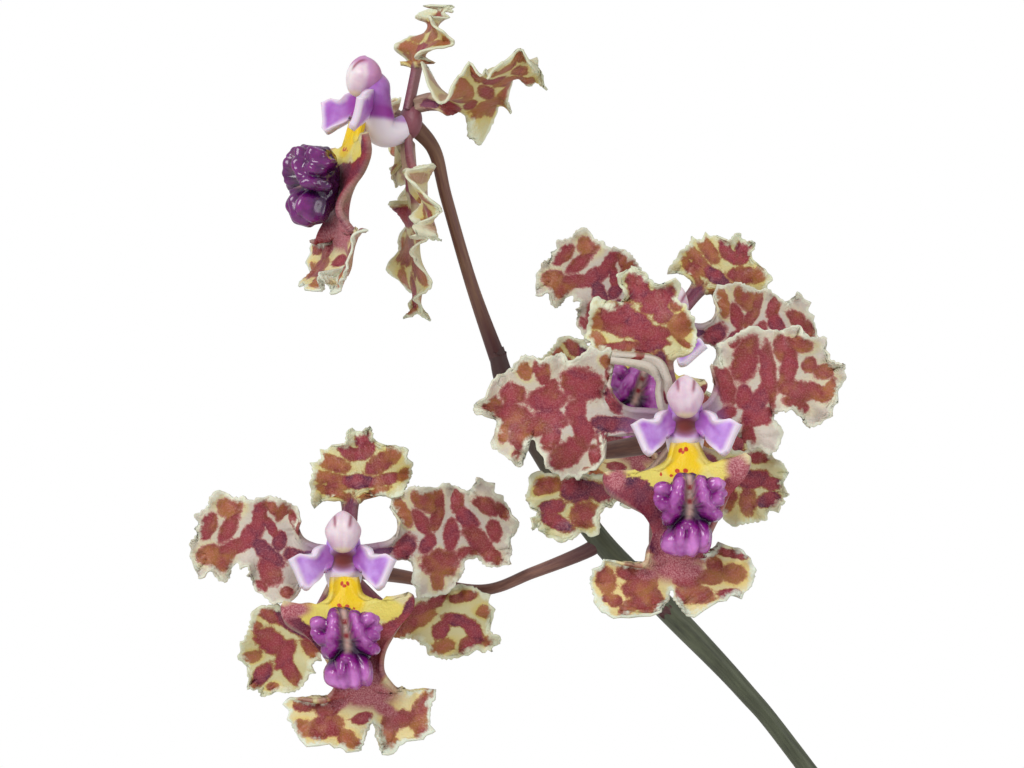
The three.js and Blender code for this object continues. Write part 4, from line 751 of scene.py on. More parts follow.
# Blotches, each an ellipse of pigment: middle u and v, half length, half width, slant in degrees, and hue
# from 0 for purple-maroon over 0.5 for crimson to 1 for ochre.
BLOTCHES = {
    "pale": {
        "dorsal": [
            (0.4, 2.3, 2.1, 0.7, 88, 0.05), (1.33, 8.9, 0.75, 0.55, 90, 0.3),
            (0.13, 8.0, 0.8, 0.4, -45, 0.5), (1.64, 8.1, 0.7, 0.45, 60, 0.4),
            (2.6, 7.1, 1.2, 0.55, 35, 0.6), (3.6, 7.9, 0.5, 0.6, 0, 1.0), (-0.9, 7.1, 1.2, 0.5, -20, 0.65),
            (0.9, 7.8, 0.45, 0.4, 0, 0.4), (-1.2, 6.05, 1.3, 0.35, -10, 0.85),
            (0.93, 5.75, 1.35, 0.45, 0, 0.1), (2.9, 5.85, 1.2, 0.4, 15, 0.6), (4.4, 6.3, 0.6, 0.4, 30, 1.0),
            (-0.9, 5.0, 1.1, 0.3, -20, 0.9), (2.1, 4.9, 1.1, 0.25, 20, 0.9),
            (-0.6, 5.5, 0.8, 0.25, -15, 0.7)],
        "petal_left": [
            (-8.5, 3.9, 0.9, 0.65, 0, 0.9), (-10.1, 2.5, 0.9, 0.5, 70, 0.6),
            (-8.55, 2.4, 1.1, 0.5, 60, 0.5), (-6.25, 3.2, 1.5, 0.42, 85, 0.4),
            (-5.5, 4.1, 0.65, 0.35, -60, 0.55), (-4.55, 3.7, 0.7, 0.35, 60, 0.55),
            (-3.6, 2.8, 0.95, 0.28, -60, 0.5), (-4.8, 1.4, 0.7, 0.45, 80, 0.15),
            (-5.4, 2.4, 0.9, 0.3, -60, 0.45), (-7.0, 1.75, 0.9, 0.55, 60, 0.4),
            (-8.1, 0.95, 1.2, 0.5, 20, 0.5), (-10.1, 0.4, 0.8, 0.6, 30, 0.8),
            (-9.1, -0.2, 0.9, 0.55, 45, 0.7), (-5.7, 0.6, 1.4, 0.5, -40, 0.15),
            (-3.5, 0.3, 0.9, 0.5, -20, 0.1), (-5.5, -0.9, 1.0, 0.7, -60, 0.4),
            (-6.25, -1.95, 0.6, 0.38, -20, 0.5), (-4.25, -2.4, 0.4, 0.35, 0, 0.55),
            (-2.0, 0.4, 1.0, 0.4, 0, -0.3)],
        "petal_right": [
            (4.3, 3.6, 1.05, 0.45, -60, 1.0), (5.9, 4.45, 0.95, 0.6, -45, 0.9),
            (6.85, 4.45, 0.9, 0.38, 90, 0.65), (5.7, 2.8, 0.95, 0.45, -60, 0.5),
            (6.75, 3.1, 0.9, 0.38, 75, 0.5), (8.3, 4.4, 0.95, 0.42, 80, 0.5),
            (8.9, 3.15, 0.95, 0.52, -45, 0.25), (7.8, 1.9, 1.1, 0.5, 85, 0.3),
            (6.1, 1.2, 0.7, 0.45, 60, 0.3), (4.4, 0.9, 0.95, 0.6, 60, 0.3),
            (10.4, 4.0, 0.9, 0.52, -30, 0.55), (11.6, 3.6, 0.7, 0.38, -50, 0.55),
            (11.0, 2.1, 0.75, 0.45, -70, 0.45), (9.8, 1.4, 1.25, 0.6, -50, 0.4),
            (10.9, 0.15, 0.9, 0.5, -50, 0.6), (7.1, -0.2, 1.3, 0.85, 0, 0.75),
            (6.8, -1.5, 0.75, 0.45, -80, 0.9), (9.05, 0.4, 0.7, 0.5, 0, 0.6),
            (2.6, 0.6, 1.0, 0.4, 10, -0.3)],
        "sepal_left": [
            (-5.85, -4.0, 1.1, 0.45, -30, 0.7), (-3.6, -4.9, 1.8, 0.5, -35, 0.1),
            (-5.5, -6.05, 1.2, 0.75, -30, 0.45), (-4.4, -7.0, 1.1, 0.5, 60, 0.4),
            (-2.4, -6.8, 1.0, 0.42, -45, 0.65), (-6.95, -7.2, 0.65, 0.38, 10, 0.9),
            (-4.0, -8.35, 1.1, 0.5, -60, 0.5), (-6.2, -8.6, 0.95, 0.5, 50, 0.25),
            (-5.4, -9.5, 0.4, 0.32, 0, 0.9), (-6.9, -9.6, 0.4, 0.35, 0, 0.9),
            (-6.7, -5.0, 0.4, 0.35, 0, 0.75), (-1.7, -3.6, 1.8, 0.5, -65, 0.2)],
        "sepal_right": [
            (6.1, -3.35, 1.4, 0.5, 30, 0.5), (8.8, -2.75, 0.95, 0.35, 15, 0.6),
            (8.3, -4.5, 1.05, 0.42, -10, 0.3), (7.0, -5.25, 0.7, 0.5, 45, 0.45),
            (10.3, -3.85, 0.55, 0.4, 0, 1.0), (9.5, -5.35, 0.95, 0.5, -60, 0.3),
            (9.0, -6.4, 0.7, 0.45, 60, 0.6), (7.1, -6.5, 0.8, 0.45, 20, 0.9),
            (5.3, -4.5, 1.25, 0.5, 30, 0.75), (10.7, -6.2, 0.45, 0.4, 0, 0.8),
            (4.4, -5.3, 0.9, 0.32, 30, 0.8), (2.5, -3.0, 1.7, 0.5, -40, 0.2)],
    },
    "bold": {
        "dorsal": [
            (-1.2, 2.6, 1.9, 0.8, 104, 0.02), (-3.33, 10.2, 1.1, 0.72, 100, 0.3),
            (-1.8, 9.15, 1.35, 0.7, 40, 0.4), (-5.0, 8.0, 1.35, 0.85, 20, 0.45),
            (-4.6, 7.15, 1.25, 0.55, -15, 0.5), (-3.45, 7.4, 0.95, 0.8, 0, 0.2),
            (-2.3, 6.7, 1.3, 0.5, 5, 0.3), (-1.5, 8.05, 0.65, 0.5, 0, 0.4),
            (-0.15, 7.35, 0.85, 0.7, 45, 0.9), (-0.5, 8.9, 0.55, 0.42, 90, 0.8),
            (-6.2, 7.6, 0.5, 0.45, 0, 1.0), (-6.2, 6.3, 0.62, 0.4, -45, 1.0),
            (-4.5, 5.75, 1.6, 0.3, 5, 0.6), (-2.4, 5.9, 1.2, 0.4, 10, 0.35),
            (0.15, 6.0, 0.7, 0.18, -30, 0.8), (-1.7, 4.6, 0.8, 0.6, 90, 0.2)],
        "petal_left": [
            (-7.37, 3.1, 1.3, 1.05, -20, 0.48), (-7.8, 1.25, 0.75, 0.6, 60, 0.35),
            (-7.25, -0.2, 0.98, 0.62, -60, 0.3), (-8.4, -1.9, 1.6, 0.75, 35, 0.5),
            (-9.85, 2.0, 1.25, 0.8, 10, 0.5), (-9.6, 0.55, 1.05, 0.65, -10, 0.4),
            (-9.65, -0.9, 0.85, 0.52, 60, 0.42), (-10.25, 4.05, 0.85, 0.5, -70, 0.6),
            (-11.45, 4.1, 0.62, 0.42, -60, 0.95), (-12.3, 2.4, 0.8, 0.68, 0, 0.5),
            (-13.85, 1.6, 0.65, 0.42, 0, 0.6), (-12.2, 0.65, 1.3, 0.92, -20, 0.55),
            (-11.8, -0.55, 0.9, 0.62, 80, 0.6), (-10.75, -0.1, 0.85, 0.55, 20, 0.5),
            (-13.0, -0.5, 0.65, 0.32, 80, 0.75), (-12.1, -2.1, 0.3, 0.28, 0, 0.9),
            (-6.35, -2.1, 0.82, 0.4, -80, 0.55), (-6.95, -3.2, 0.3, 0.28, 0, 0.55),
            (-6.05, -0.8, 0.3, 0.28, 0, 0.5), (-4.9, 0.2, 1.7, 0.55, -5, 0.05),
            (-5.1, 1.9, 0.9, 0.4, -60, 0.3), (-5.6, 4.8, 0.42, 0.4, 0, 0.95),
            (-5.4, 3.9, 0.5, 0.28, 80, 0.4), (-9.6, 2.9, 0.5, 0.4, 60, 0.5)],
        "fold": [(-1.4, 2.2, 0.5, 0.2, 90, 0.1), (-3.4, 5.0, 0.5, 0.2, 20, 0.4)],
        "petal_right": [
            (3.6, 6.3, 0.5, 0.36, 90, 0.6), (4.4, 4.85, 1.65, 0.75, 78, 0.5),
            (6.05, 3.85, 2.05, 0.5, -82, 0.5), (2.9, 3.0, 1.3, 0.62, -70, 0.55),
            (4.3, 2.2, 0.82, 0.48, 90, 0.42), (3.1, 1.0, 0.6, 0.42, 20, 0.3),
            (5.2, 1.6, 1.6, 0.55, 60, 0.4), (5.6, 0.75, 1.2, 0.55, 8, 0.45),
            (4.65, -0.6, 0.85, 0.42, -80, 0.5), (7.55, 4.3, 1.5, 0.52, 80, 0.5),
            (6.95, 5.75, 0.82, 0.48, 90, 0.6), (8.3, 6.0, 0.92, 0.45, -10, 0.85),
            (7.95, 2.7, 1.3, 0.62, -20, 0.5), (9.05, 4.5, 0.5, 0.48, 0, 0.55),
            (10.1, 4.0, 0.7, 0.5, 20, 0.7), (10.6, 2.7, 0.78, 0.42, 60, 0.85),
            (9.5, 2.55, 0.98, 0.45, -30, 0.6), (8.1, 1.6, 0.9, 0.45, -20, 0.6)],
        "sepal_left": [
            (-9.75, -4.2, 0.95, 0.48, 0, 0.85), (-7.7, -4.5, 1.05, 0.82, 0, 0.2),
            (-6.05, -4.7, 0.95, 0.6, -30, 0.15), (-9.5, -5.75, 0.85, 0.45, 10, 0.25),
            (-7.0, -6.4, 1.0, 0.82, 0, 0.7), (-9.2, -6.9, 1.2, 0.48, -30, 0.2),
            (-3.6, -4.0, 1.7, 0.6, 10, 0.1), (-10.4, -4.6, 0.4, 0.3, 0, 1.0)],
        "sepal_right": [
            (5.35, -2.05, 0.92, 0.5, 0, 0.55), (4.95, -3.8, 1.15, 0.58, 10, 0.2),
            (6.45, -4.1, 0.7, 0.45, 0, 0.35), (3.05, -5.2, 0.85, 0.72, 60, 0.7),
            (4.65, -5.45, 0.85, 0.55, 90, 0.75), (6.25, -5.3, 0.85, 0.5, 10, 0.15),
            (2.2, -3.0, 1.5, 0.6, -40, 0.2), (3.6, -2.6, 0.5, 0.35, 0, 0.8)],
    },
}
# The margin, in millimetres: depth of the teeth, spacing of the large and the small ones, and height and
# length of the crisping.
MARGIN = {"teeth": 0.32, "every": 1.9, "fringe": 0.52, "crisp": 0.4, "ripple": 1.9}


def saw(x):
    """Triangle wave: 0 at whole numbers and 1 halfway between them."""
    return 1 - np.abs(2 * (x - np.floor(x)) - 1)


def pigment(blotches, u, v):
    """The blotches' field and hue at points: the field is the largest of 1 - |(along / a, across / b)|
    over the ellipses, and the hue their mean weighted by exp(9 x field)."""
    cu, cv, a, b, slant, hue = np.array(blotches, float).T[..., None]
    du, dv = u[None, :] - cu, v[None, :] - cv
    way = np.radians(slant)
    along, across = du * np.cos(way) + dv * np.sin(way), dv * np.cos(way) - du * np.sin(way)
    fields = 1 - np.hypot(along / a, across / b)
    weight = np.exp(9 * np.clip(fields, -3, 1))
    return fields.max(axis=0), (weight * hue).sum(axis=0) / weight.sum(axis=0)


def blade(form, pose, blotches, rows, columns, thick=0.36, seed=0.0):
    """A blade's points, faces and marks. A cross line is straight from the spine to the edge and lifts by
    (cup + ruffle wave sin 2 pi (waves t + shift) + curl) q^2. Within a millimetre or so of the margin it
    also moves out by saw teeth and up by a crisping sine, both of the length along the margin. A pose
    then turns the blade about the receptacle."""
    last = len(form["left"]) - 1
    fine = np.linspace(0, last, 400)
    middle = 0.5 * (through(form["left"], fine) + through(form["right"], fine))
    length = np.concatenate([[0], np.cumsum(np.linalg.norm(np.diff(middle, axis=0), axis=1) + 0.004)])
    k = np.interp(np.linspace(0, length[-1], rows), length, fine)
    t = (k / last)[:, None]
    q = np.linspace(-1, 1, columns)[None, :]
    q = np.sign(q) * np.abs(q) ** 0.88
    spine = smooth([p[0] for p in form["spine"]], [p[1:] for p in form["spine"]], k)[:, None, :]
    left, right = through(form["left"], k)[:, None, :], through(form["right"], k)[:, None, :]
    edge = np.where(q[..., None] < 0, left, right)
    flat = spine[..., :2] + (edge - spine[..., :2]) * np.abs(q)[..., None]
    border = np.concatenate([flat[:, 0], flat[-1, 1:-1], flat[::-1, -1]])
    run = np.concatenate([[0], np.cumsum(np.linalg.norm(np.diff(border, axis=0), axis=1))])
    apart = np.linalg.norm(flat.reshape(-1, 1, 2) - border[None], axis=2)
    nearest = apart.argmin(axis=1)
    rim = apart.min(axis=1).reshape(flat.shape[:2])
    s = run[nearest].reshape(rim.shape) + seed
    tangent = np.gradient(border, axis=0)
    outward = np.stack([-tangent[:, 1], tangent[:, 0]], axis=1)
    outward /= np.maximum(np.linalg.norm(outward, axis=1, keepdims=True), 1e-9)
    outward = outward * np.sign(np.sum(outward * (border - flat.mean(axis=(0, 1))), axis=1).sum() + 1e-9)
    clawless = ease(*form.get("toothed", (0.13, 0.28)), t)
    wander = 0.5 + 0.5 * np.sin(0.83 * s + 2 * np.sin(0.31 * s))
    spikes = wander * saw(s / MARGIN["every"] + 0.3 * np.sin(1.3 * s)) ** 3
    teeth = 1.7 * spikes + 0.5 * saw(s / MARGIN["fringe"] + 0.5 * np.sin(2.1 * s)) - 0.45
    near = np.clip(1 - rim / 0.9, 0, 1) ** 2
    push = (MARGIN["teeth"] * teeth * near * clawless)[..., None]
    flat = flat + push * outward[nearest].reshape(*rim.shape, 2)
    side = (q > 0).astype(float)
    wave = np.sin(2 * np.pi * (form["waves"] * t + form["shift"] + 0.37 * side))
    cup = np.where(q < 0, form["cup"][0], form["cup"][1])
    ruffle = pose.get("ruffle", 1) * form["wave"] * wave * ease(0.08, 0.3, t)
    lift = cup + ruffle + form.get("curl", 0) * ease(0.6, 1, t)
    ripple = np.sin(2 * np.pi * s / MARGIN["ripple"] + 1.4 * np.sin(0.8 * s))
    crisp = np.clip(1 - rim / 1.7, 0, 1) ** 1.5 * ripple
    w = spine[..., 2] + lift * q ** 2 + MARGIN["crisp"] * (1.2 - wander) * crisp * clawless
    if pose:
        cu, cv, cw = RECEPTACLE["at"]
        tip = form["spine"][-1]
        heading = np.arctan2(tip[2] - cv, tip[1] - cu)
        fold, swing = np.radians(pose.get("fold", 0)), heading + np.radians(pose.get("swing", 0))
        du, dv = flat[..., 0] - cu, flat[..., 1] - cv
        reach = (du * np.cos(heading) + dv * np.sin(heading)) * pose.get("stretch", 1)
        aside = dv * np.cos(heading) - du * np.sin(heading)
        twist = np.radians(pose.get("twist", 0)) * ease(1.5, 5.5, reach)
        wide = aside * np.cos(twist) - (w - cw) * np.sin(twist)
        rise = aside * np.sin(twist) + (w - cw) * np.cos(twist)
        far, high = reach * np.cos(fold) + rise * np.sin(fold), rise * np.cos(fold) - reach * np.sin(fold)
        grid = np.stack([cu + far * np.cos(swing) - wide * np.sin(swing),
                         cv + far * np.sin(swing) + wide * np.cos(swing), cw + high], axis=-1)
    else:
        grid = np.concatenate([flat, w[..., None]], axis=-1)
    thickness = 0.16 + (thick - 0.16) * ease(0, 1.4, rim) + 0.35 * (1 - clawless)
    points, faces = sheet(grid, thickness)
    field, hue = pigment(blotches, flat[..., 0].ravel(), flat[..., 1].ravel())
    front = np.ones(rim.size)
    place = np.column_stack([flat.reshape(-1, 2), np.broadcast_to(t, rim.shape).ravel()])
    marks = {
        "field": np.tile(field, 2),
        "hue": np.tile(hue, 2),
        "rim": np.tile((rim + 9 * (1 - clawless)).ravel(), 2),
        "face": np.concatenate([front, 0 * front]),
        "flat": np.tile(place, (2, 1)),
    }
    return points, faces, marks


def gathered(parts):
    """Several (points, faces, marks) as one."""
    points, faces = joined([(points, faces) for points, faces, _ in parts])
    return points, faces, {key: np.concatenate([marks[key] for _, _, marks in parts]) for key in parts[0][2]}


def petal_skin(name, net, outer_net, fringe, margin, claw):
    """Blotched petal tissue. Pigment lies where worn = field + 1.1 rough + 0.3 grain is over about 0.57,
    with a fringe outside it. Its colour follows hue plus drifting noise, and the net yellows outwards.
    The margin is pale where the distance to it is under a ragged quarter of a millimetre, and the claw
    has its own tint. Gives the material, its tree, its shader, its last colour, its grain and the
    blotches' mask."""
    made, tree, shader = finish(name, Roughness=0.42, IOR=1.4, Subsurface_Weight=0.12,
                                Subsurface_Scale=0.0008)
    shader.inputs["Subsurface Radius"].default_value = (1.0, 0.45, 0.35)
    here = (node(tree, "TexCoord"), "Object")
    field, hue, rim, face, flat = [node(tree, "Attribute", attribute_name=mark)
                                   for mark in ("field", "hue", "rim", "face", "flat")]
    rough, drift, grain = [
        node(tree, "TexNoise", {"Scale": scale, "Detail": detail, "Roughness": rugged},
             {"Vector": (flat, "Vector")})
        for scale, detail, rugged in ((1.7, 5.0, 0.6), (0.9, 3.0, 0.5), (10.0, 2.0, 0.5))]
    parts = node(tree, "SeparateXYZ", links={"Vector": (flat, "Vector")})
    uneven = node(tree, "Math", {1: 1.1}, {0: (rough, "Fac"), 2: (field, "Fac")}, operation="MULTIPLY_ADD")
    worn = node(tree, "Math", {1: 0.3}, {0: (grain, "Fac"), 2: (uneven, "Value")}, operation="MULTIPLY_ADD")
    share = {}
    for what, source, low, high, start, end, curve in (
            ("mask", (worn, "Value"), 0.44, 0.7, 0.0, 1.0, "SMOOTHSTEP"),
            ("ring", (worn, "Value"), 0.28, 0.56, 0.0, 1.0, "SMOOTHSTEP"),
            ("core", (worn, "Value"), 0.75, 1.3, 0.0, 0.25, "LINEAR"),
            ("near", (worn, "Value"), -0.5, 0.5, 0.0, 1.0, "LINEAR"),
            ("outer", (hue, "Fac"), 0.35, 0.95, 0.0, 1.0, "LINEAR"),
            ("drift", (drift, "Fac"), 0.3, 0.7, -0.16, 0.4, "LINEAR"),
            ("speckle", (grain, "Fac"), 0.42, 0.7, 0.0, 0.26, "LINEAR"),
            ("behind", (face, "Fac"), 0.0, 1.0, 0.42, 0.0, "LINEAR"),
            ("claw", (parts, "Z"), 0.07, 0.2, 0.6, 0.0, "SMOOTHSTEP")):
        limits = {"From Min": low, "From Max": high, "To Min": start, "To Max": end}
        share[what] = (node(tree, "MapRange", limits, {"Value": source}, interpolation_type=curve), "Result")
    drifted = node(tree, "Math", links={0: (hue, "Fac"), 1: share["drift"]}, operation="ADD")
    hues = node(tree, "ValToRGB", links={"Fac": (drifted, "Value")}, stops=[
        (0.0, "#3F0E38"), (0.22, "#5F1434"), (0.47, "#862634"), (0.72, "#7A3224"), (1.0, "#98622A")])
    pigmented = (hues, "Color")
    for part, tint in (("core", "#B04A54"), ("speckle", "#CE8488")):
        layer = node(tree, "Mix", {7: tint}, {0: share[part], 6: pigmented}, data_type="RGBA")
        pigmented = (layer, 2)
    yellowing = node(tree, "Math", links={0: share["outer"], 1: share["near"]}, operation="MULTIPLY")
    jagged = node(tree, "MapRange", {"From Min": 0.3, "From Max": 0.7, "To Max": -0.5},
                  {"Value": (rough, "Fac")}, clamp=False)
    ragged = node(tree, "Math", links={0: (rim, "Fac"), 1: (jagged, "Result")}, operation="ADD")
    pale_rim = node(tree, "MapRange", {"From Min": -0.2, "From Max": 0.2, "To Min": 1.0, "To Max": 0.0},
                    {"Value": (ragged, "Value")}, interpolation_type="SMOOTHSTEP")
    ground = node(tree, "Mix", {6: net, 7: outer_net}, {0: (yellowing, "Value")}, data_type="RGBA")
    fringed = node(tree, "Mix", {7: fringe}, {0: share["ring"], 6: (ground, 2)}, data_type="RGBA")
    blotched = node(tree, "Mix", links={0: share["mask"], 6: (fringed, 2), 7: pigmented}, data_type="RGBA")
    skin = (blotched, 2)
    for part, tint in (((pale_rim, "Result"), margin), (share["behind"], "#BDB096"), (share["claw"], claw)):
        layer = node(tree, "Mix", {7: tint}, {0: part, 6: skin}, data_type="RGBA")
        skin = (layer, 2)
    cells = node(tree, "TexVoronoi", {"Scale": 6500.0}, {"Vector": here})
    relief = node(tree, "Math", {1: 2.5}, {0: (rough, "Fac"), 2: (cells, "Distance")},
                  operation="MULTIPLY_ADD")
    bump = node(tree, "Bump", {"Strength": 0.5, "Distance": 0.00005}, {"Height": (relief, "Value")})
    wire(shader, {"Base Color": skin, "Normal": (bump, "Normal")})
    return made, tree, shader, skin, grain, share["mask"]


# Petal tissue: thin and slightly see-through, blotched crimson to ochre on a pale net. Its skin cells are
# small domes, 0.15 mm apart here so that they show, and they give it a fine sparkle.
petal_tissue = petal_skin("blotched_petal_tissue", "#C6BCB1", "#D0C68E", "#A96C68", "#DCDCC8", "#96689A")[0]
sepal_tissue = petal_skin("blotched_sepal_tissue", "#CAC496", "#CDB964", "#9C6A3A", "#D9DCC0", "#8A5468")[0]
GRIDS = {"dorsal": (78, 56), "petal_left": (96, 66), "petal_right": (96, 66), "sepal_left": (76, 50),
         "sepal_right": (76, 50), "fold": (60, 24)}


def ball(at, size, around=32, down=20):
    """Rings of a ball squeezed to half sizes about a point."""
    a = np.linspace(0, 2 * np.pi, around, endpoint=False)[None, :]
    b = np.linspace(-np.pi / 2, np.pi / 2, down + 2)[1:-1, None]
    shape = np.broadcast_arrays(np.cos(b) * np.cos(a), np.cos(b) * np.sin(a), np.sin(b) + 0 * a)
    return np.stack(shape, axis=-1) * size + at


for name, bloom in BLOOMS.items():
    forms, blotches = FORMS[bloom["form"]], BLOTCHES[bloom["form"]]
    ochre = 0.3 if name == "upper" else 0
    for finish_name, tissue, blades in (("petals", petal_tissue, ("petal_left", "petal_right", "fold")),
                                        ("sepals", sepal_tissue, ("dorsal", "sepal_left", "sepal_right"))):
        parts = [blade(forms[part], bloom["pose"].get(part, {}), blotches[part], *GRIDS[part], seed=3.7 * n)
                 for n, part in enumerate(blades) if part in forms]
        if finish_name == "sepals":
            points, faces = closed_rings(ball(RECEPTACLE["at"], (1.3, 1.3, 0.8)))
            plain = {key: np.zeros((len(points), 3) if values.ndim == 2 else len(points))
                     for key, values in parts[0][2].items()}
            plain["rim"] += 9
            plain["face"] += 1
            plain["field"] -= 0.1
            plain["hue"] += 0.05
            parts.append((points, faces, plain))
        points, faces, marks = gathered(parts)
        away = np.hypot(marks["flat"][:, 0], marks["flat"][:, 1])
        marks["hue"] = marks["hue"] + ochre * ease(2.5, 5, away)
        made = piece(f"{name}_bloom_{finish_name}", set_out(bloom, points), faces,
                     sepal_tissue if ochre else tissue, marks)
        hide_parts(f"{name}_perianth")
        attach(made, "root")

# Lips: the lowest petal of each bloom, a landing place with two side lobes, a waist and a broad end notched
# in two. It is grown to the foot of the column, leathery at the waist and thin and crisped at its end.
LIPS = {
    "pale": {
        "left": [(-0.8, -1.1), (-1.1, -2.8), (-2.8, -3.6), (-4.4, -3.0), (-4.1, -4.3), (-2.6, -5.4),
                 (-1.5, -6.7), (-0.9, -8.0), (-0.6, -9.2), (-1.6, -10.1), (-3.8, -9.8), (-3.9, -11.4),
                 (-3.0, -12.9), (-0.8, -13.2), (1.1, -13.8), (1.75, -12.4)],
        "right": [(1.0, -1.1), (1.5, -2.5), (3.1, -3.0), (4.9, -2.3), (5.2, -3.3), (4.0, -4.9), (3.1, -6.3),
                  (2.9, -7.7), (3.4, -8.7), (4.5, -9.5), (6.8, -9.2), (6.5, -10.6), (6.2, -12.6),
                  (4.6, -13.0), (3.0, -13.9), (2.7, -12.4)],
        "spine": [(0, 0.1, -1.15, -0.4), (3, 0.3, -3.7, 0.4), (8, 1.3, -8.7, 0.8), (12, 1.8, -10.5, 0.6),
                  (15, 2.2, -11.6, 0.6)],
        "cup": (0.5, 0.5), "wave": 0.5, "waves": 3.4, "shift": 0.3, "curl": 1.2, "toothed": (0.55, 0.66),
        "blotches": [
            (-3.2, -5.3, 2.0, 0.75, -45, 0.1), (-4.2, -4.4, 1.1, 0.45, -60, 0.2),
            (3.6, -5.4, 1.3, 0.8, 50, 0.42), (4.9, -3.6, 1.2, 0.45, 60, 0.25),
            (1.2, -7.4, 1.5, 2.0, 0, 0.25), (-2.85, -10.4, 0.6, 0.4, 0, 0.6),
            (-1.1, -10.6, 0.8, 0.55, 0, 0.55), (-2.95, -12.1, 0.55, 0.5, 0, 0.95),
            (-1.2, -12.0, 1.05, 0.6, 20, 0.75), (0.3, -12.8, 0.5, 0.42, 0, 0.8),
            (1.4, -11.4, 0.6, 0.35, 20, 0.3), (1.1, -13.2, 0.65, 0.3, 0, 0.9),
            (3.4, -12.2, 1.3, 0.48, 80, 0.8), (4.25, -11.5, 0.75, 0.52, 30, 0.6),
            (6.0, -10.6, 1.3, 0.6, 60, 0.72), (5.9, -12.1, 0.7, 0.42, 60, 0.75),
            (3.6, -13.2, 0.5, 0.38, 0, 0.95), (-0.2, -9.7, 0.7, 0.5, 0, 0.5)],
        "yellow": [(0.2, -1.9, 1.5, 1.0, 0), (0.3, -3.0, 1.6, 1.1, 0)],
        "lemon": [(-2.4, -3.8, 2.4, 1.1, 15), (3.4, -3.5, 2.3, 1.1, -20), (0.3, -3.0, 2.4, 1.9, 0)],
        "rose": [(-3.6, -3.6, 1.4, 0.6, 10), (1.9, -9.6, 2.3, 1.15, 0), (1.4, -8.0, 1.6, 1.3, 0),
                 (-0.2, -10.3, 0.9, 0.5, 20), (3.0, -10.6, 1.2, 0.6, -30)],
        "red": [(-0.1, -1.65, 0.2, 0.2, 0), (0.4, -1.65, 0.2, 0.2, 0), (0.12, -1.85, 0.16, 0.14, 0),
                (-0.25, -3.25, 0.2, 0.17, 0), (0.35, -3.3, 0.22, 0.17, 0), (0.05, -3.45, 0.24, 0.12, 0),
                (0.85, -3.4, 0.15, 0.13, 0)],
    },
    "bold": {
        "left": [(-0.9, -1.1), (-1.5, -2.6), (-3.6, -3.5), (-5.7, -3.1), (-5.7, -4.4), (-4.2, -5.4),
                 (-2.9, -6.4), (-2.4, -7.5), (-2.7, -8.5), (-3.2, -9.8), (-5.6, -9.5), (-6.9, -10.8),
                 (-6.3, -12.3), (-5.4, -13.4), (-2.4, -13.4), (-1.4, -12.4)],
        "right": [(0.8, -1.1), (1.6, -2.5), (2.9, -2.8), (4.4, -1.9), (4.4, -3.2), (3.4, -4.4), (2.6, -5.8),
                  (1.8, -7.2), (1.3, -8.6), (1.4, -9.1), (3.2, -8.4), (4.8, -9.6), (4.6, -11.4),
                  (3.0, -12.1), (0.4, -13.3), (-0.6, -12.6)],
        "spine": [(0, 0.0, -1.15, -0.4), (3, 0.0, -3.7, 0.4), (8, -0.8, -8.7, 0.8), (12, -1.0, -10.6, 0.6),
                  (15, -1.0, -11.7, 0.6)],
        "cup": (0.5, 0.5), "wave": 0.5, "waves": 3.6, "shift": 0.1, "curl": 0.8, "toothed": (0.55, 0.66),
        "blotches": [
            (-4.6, -4.9, 1.7, 0.5, -40, 0.12), (-3.0, -5.4, 1.9, 1.0, -50, 0.1),
            (-2.2, -7.4, 1.6, 0.9, -80, 0.05), (3.7, -4.0, 1.2, 0.5, 55, 0.3),
            (2.8, -5.2, 1.6, 0.9, 60, 0.25), (0.4, -7.2, 1.9, 1.8, 0, 0.2),
            (-5.7, -10.85, 0.85, 0.55, 105, 0.75), (-5.6, -12.2, 0.32, 0.22, 0, 0.75),
            (-5.05, -12.4, 0.42, 0.33, 0, 0.7), (-3.75, -10.4, 0.95, 0.5, -15, 0.6),
            (-3.3, -11.2, 1.05, 0.65, 30, 0.75), (-3.55, -12.5, 1.25, 0.35, 30, 0.7),
            (-2.05, -12.6, 1.05, 0.5, -60, 0.75), (-3.15, -12.85, 0.3, 0.2, 0, 0.6),
            (-0.3, -12.0, 0.55, 0.35, -60, 0.7), (0.75, -11.8, 1.05, 0.55, -20, 0.65),
            (1.7, -10.65, 0.75, 0.42, 0, 0.7), (2.1, -9.9, 0.65, 0.42, -60, 0.75),
            (3.4, -10.4, 0.65, 0.55, 0, 0.95), (3.15, -11.85, 0.72, 0.3, 0, 0.45),
            (3.3, -9.0, 1.05, 0.24, -10, 0.55), (0.1, -11.0, 0.9, 0.5, -30, 0.55)],
        "yellow": [(-0.1, -1.9, 1.4, 1.0, 0), (-0.2, -3.0, 1.6, 1.0, 0)],
        "lemon": [(-3.2, -3.9, 2.6, 1.1, 10), (2.8, -3.1, 1.9, 1.0, -20), (-0.2, -3.0, 2.4, 1.8, 0)],
        "rose": [(-5.0, -3.8, 1.0, 0.75, 80), (3.7, -2.9, 0.9, 1.0, 0), (-0.9, -9.8, 2.2, 1.3, 0),
                 (-0.7, -8.4, 1.6, 1.2, 0), (-2.8, -10.4, 0.8, 0.5, 0), (0.5, -10.2, 0.9, 0.6, 30)],
        "red": [(-0.45, -1.7, 0.23, 0.2, 20), (0.03, -1.66, 0.2, 0.2, 0), (-0.2, -1.88, 0.17, 0.14, 0),
                (-0.62, -3.2, 0.21, 0.18, 0), (-0.02, -3.18, 0.23, 0.2, 0), (-0.32, -3.42, 0.28, 0.13, 0),
                (-1.05, -3.5, 0.17, 0.14, 0), (-1.8, -3.4, 0.13, 0.15, 0), (0.5, -3.36, 0.16, 0.13, 0)],
    },
}

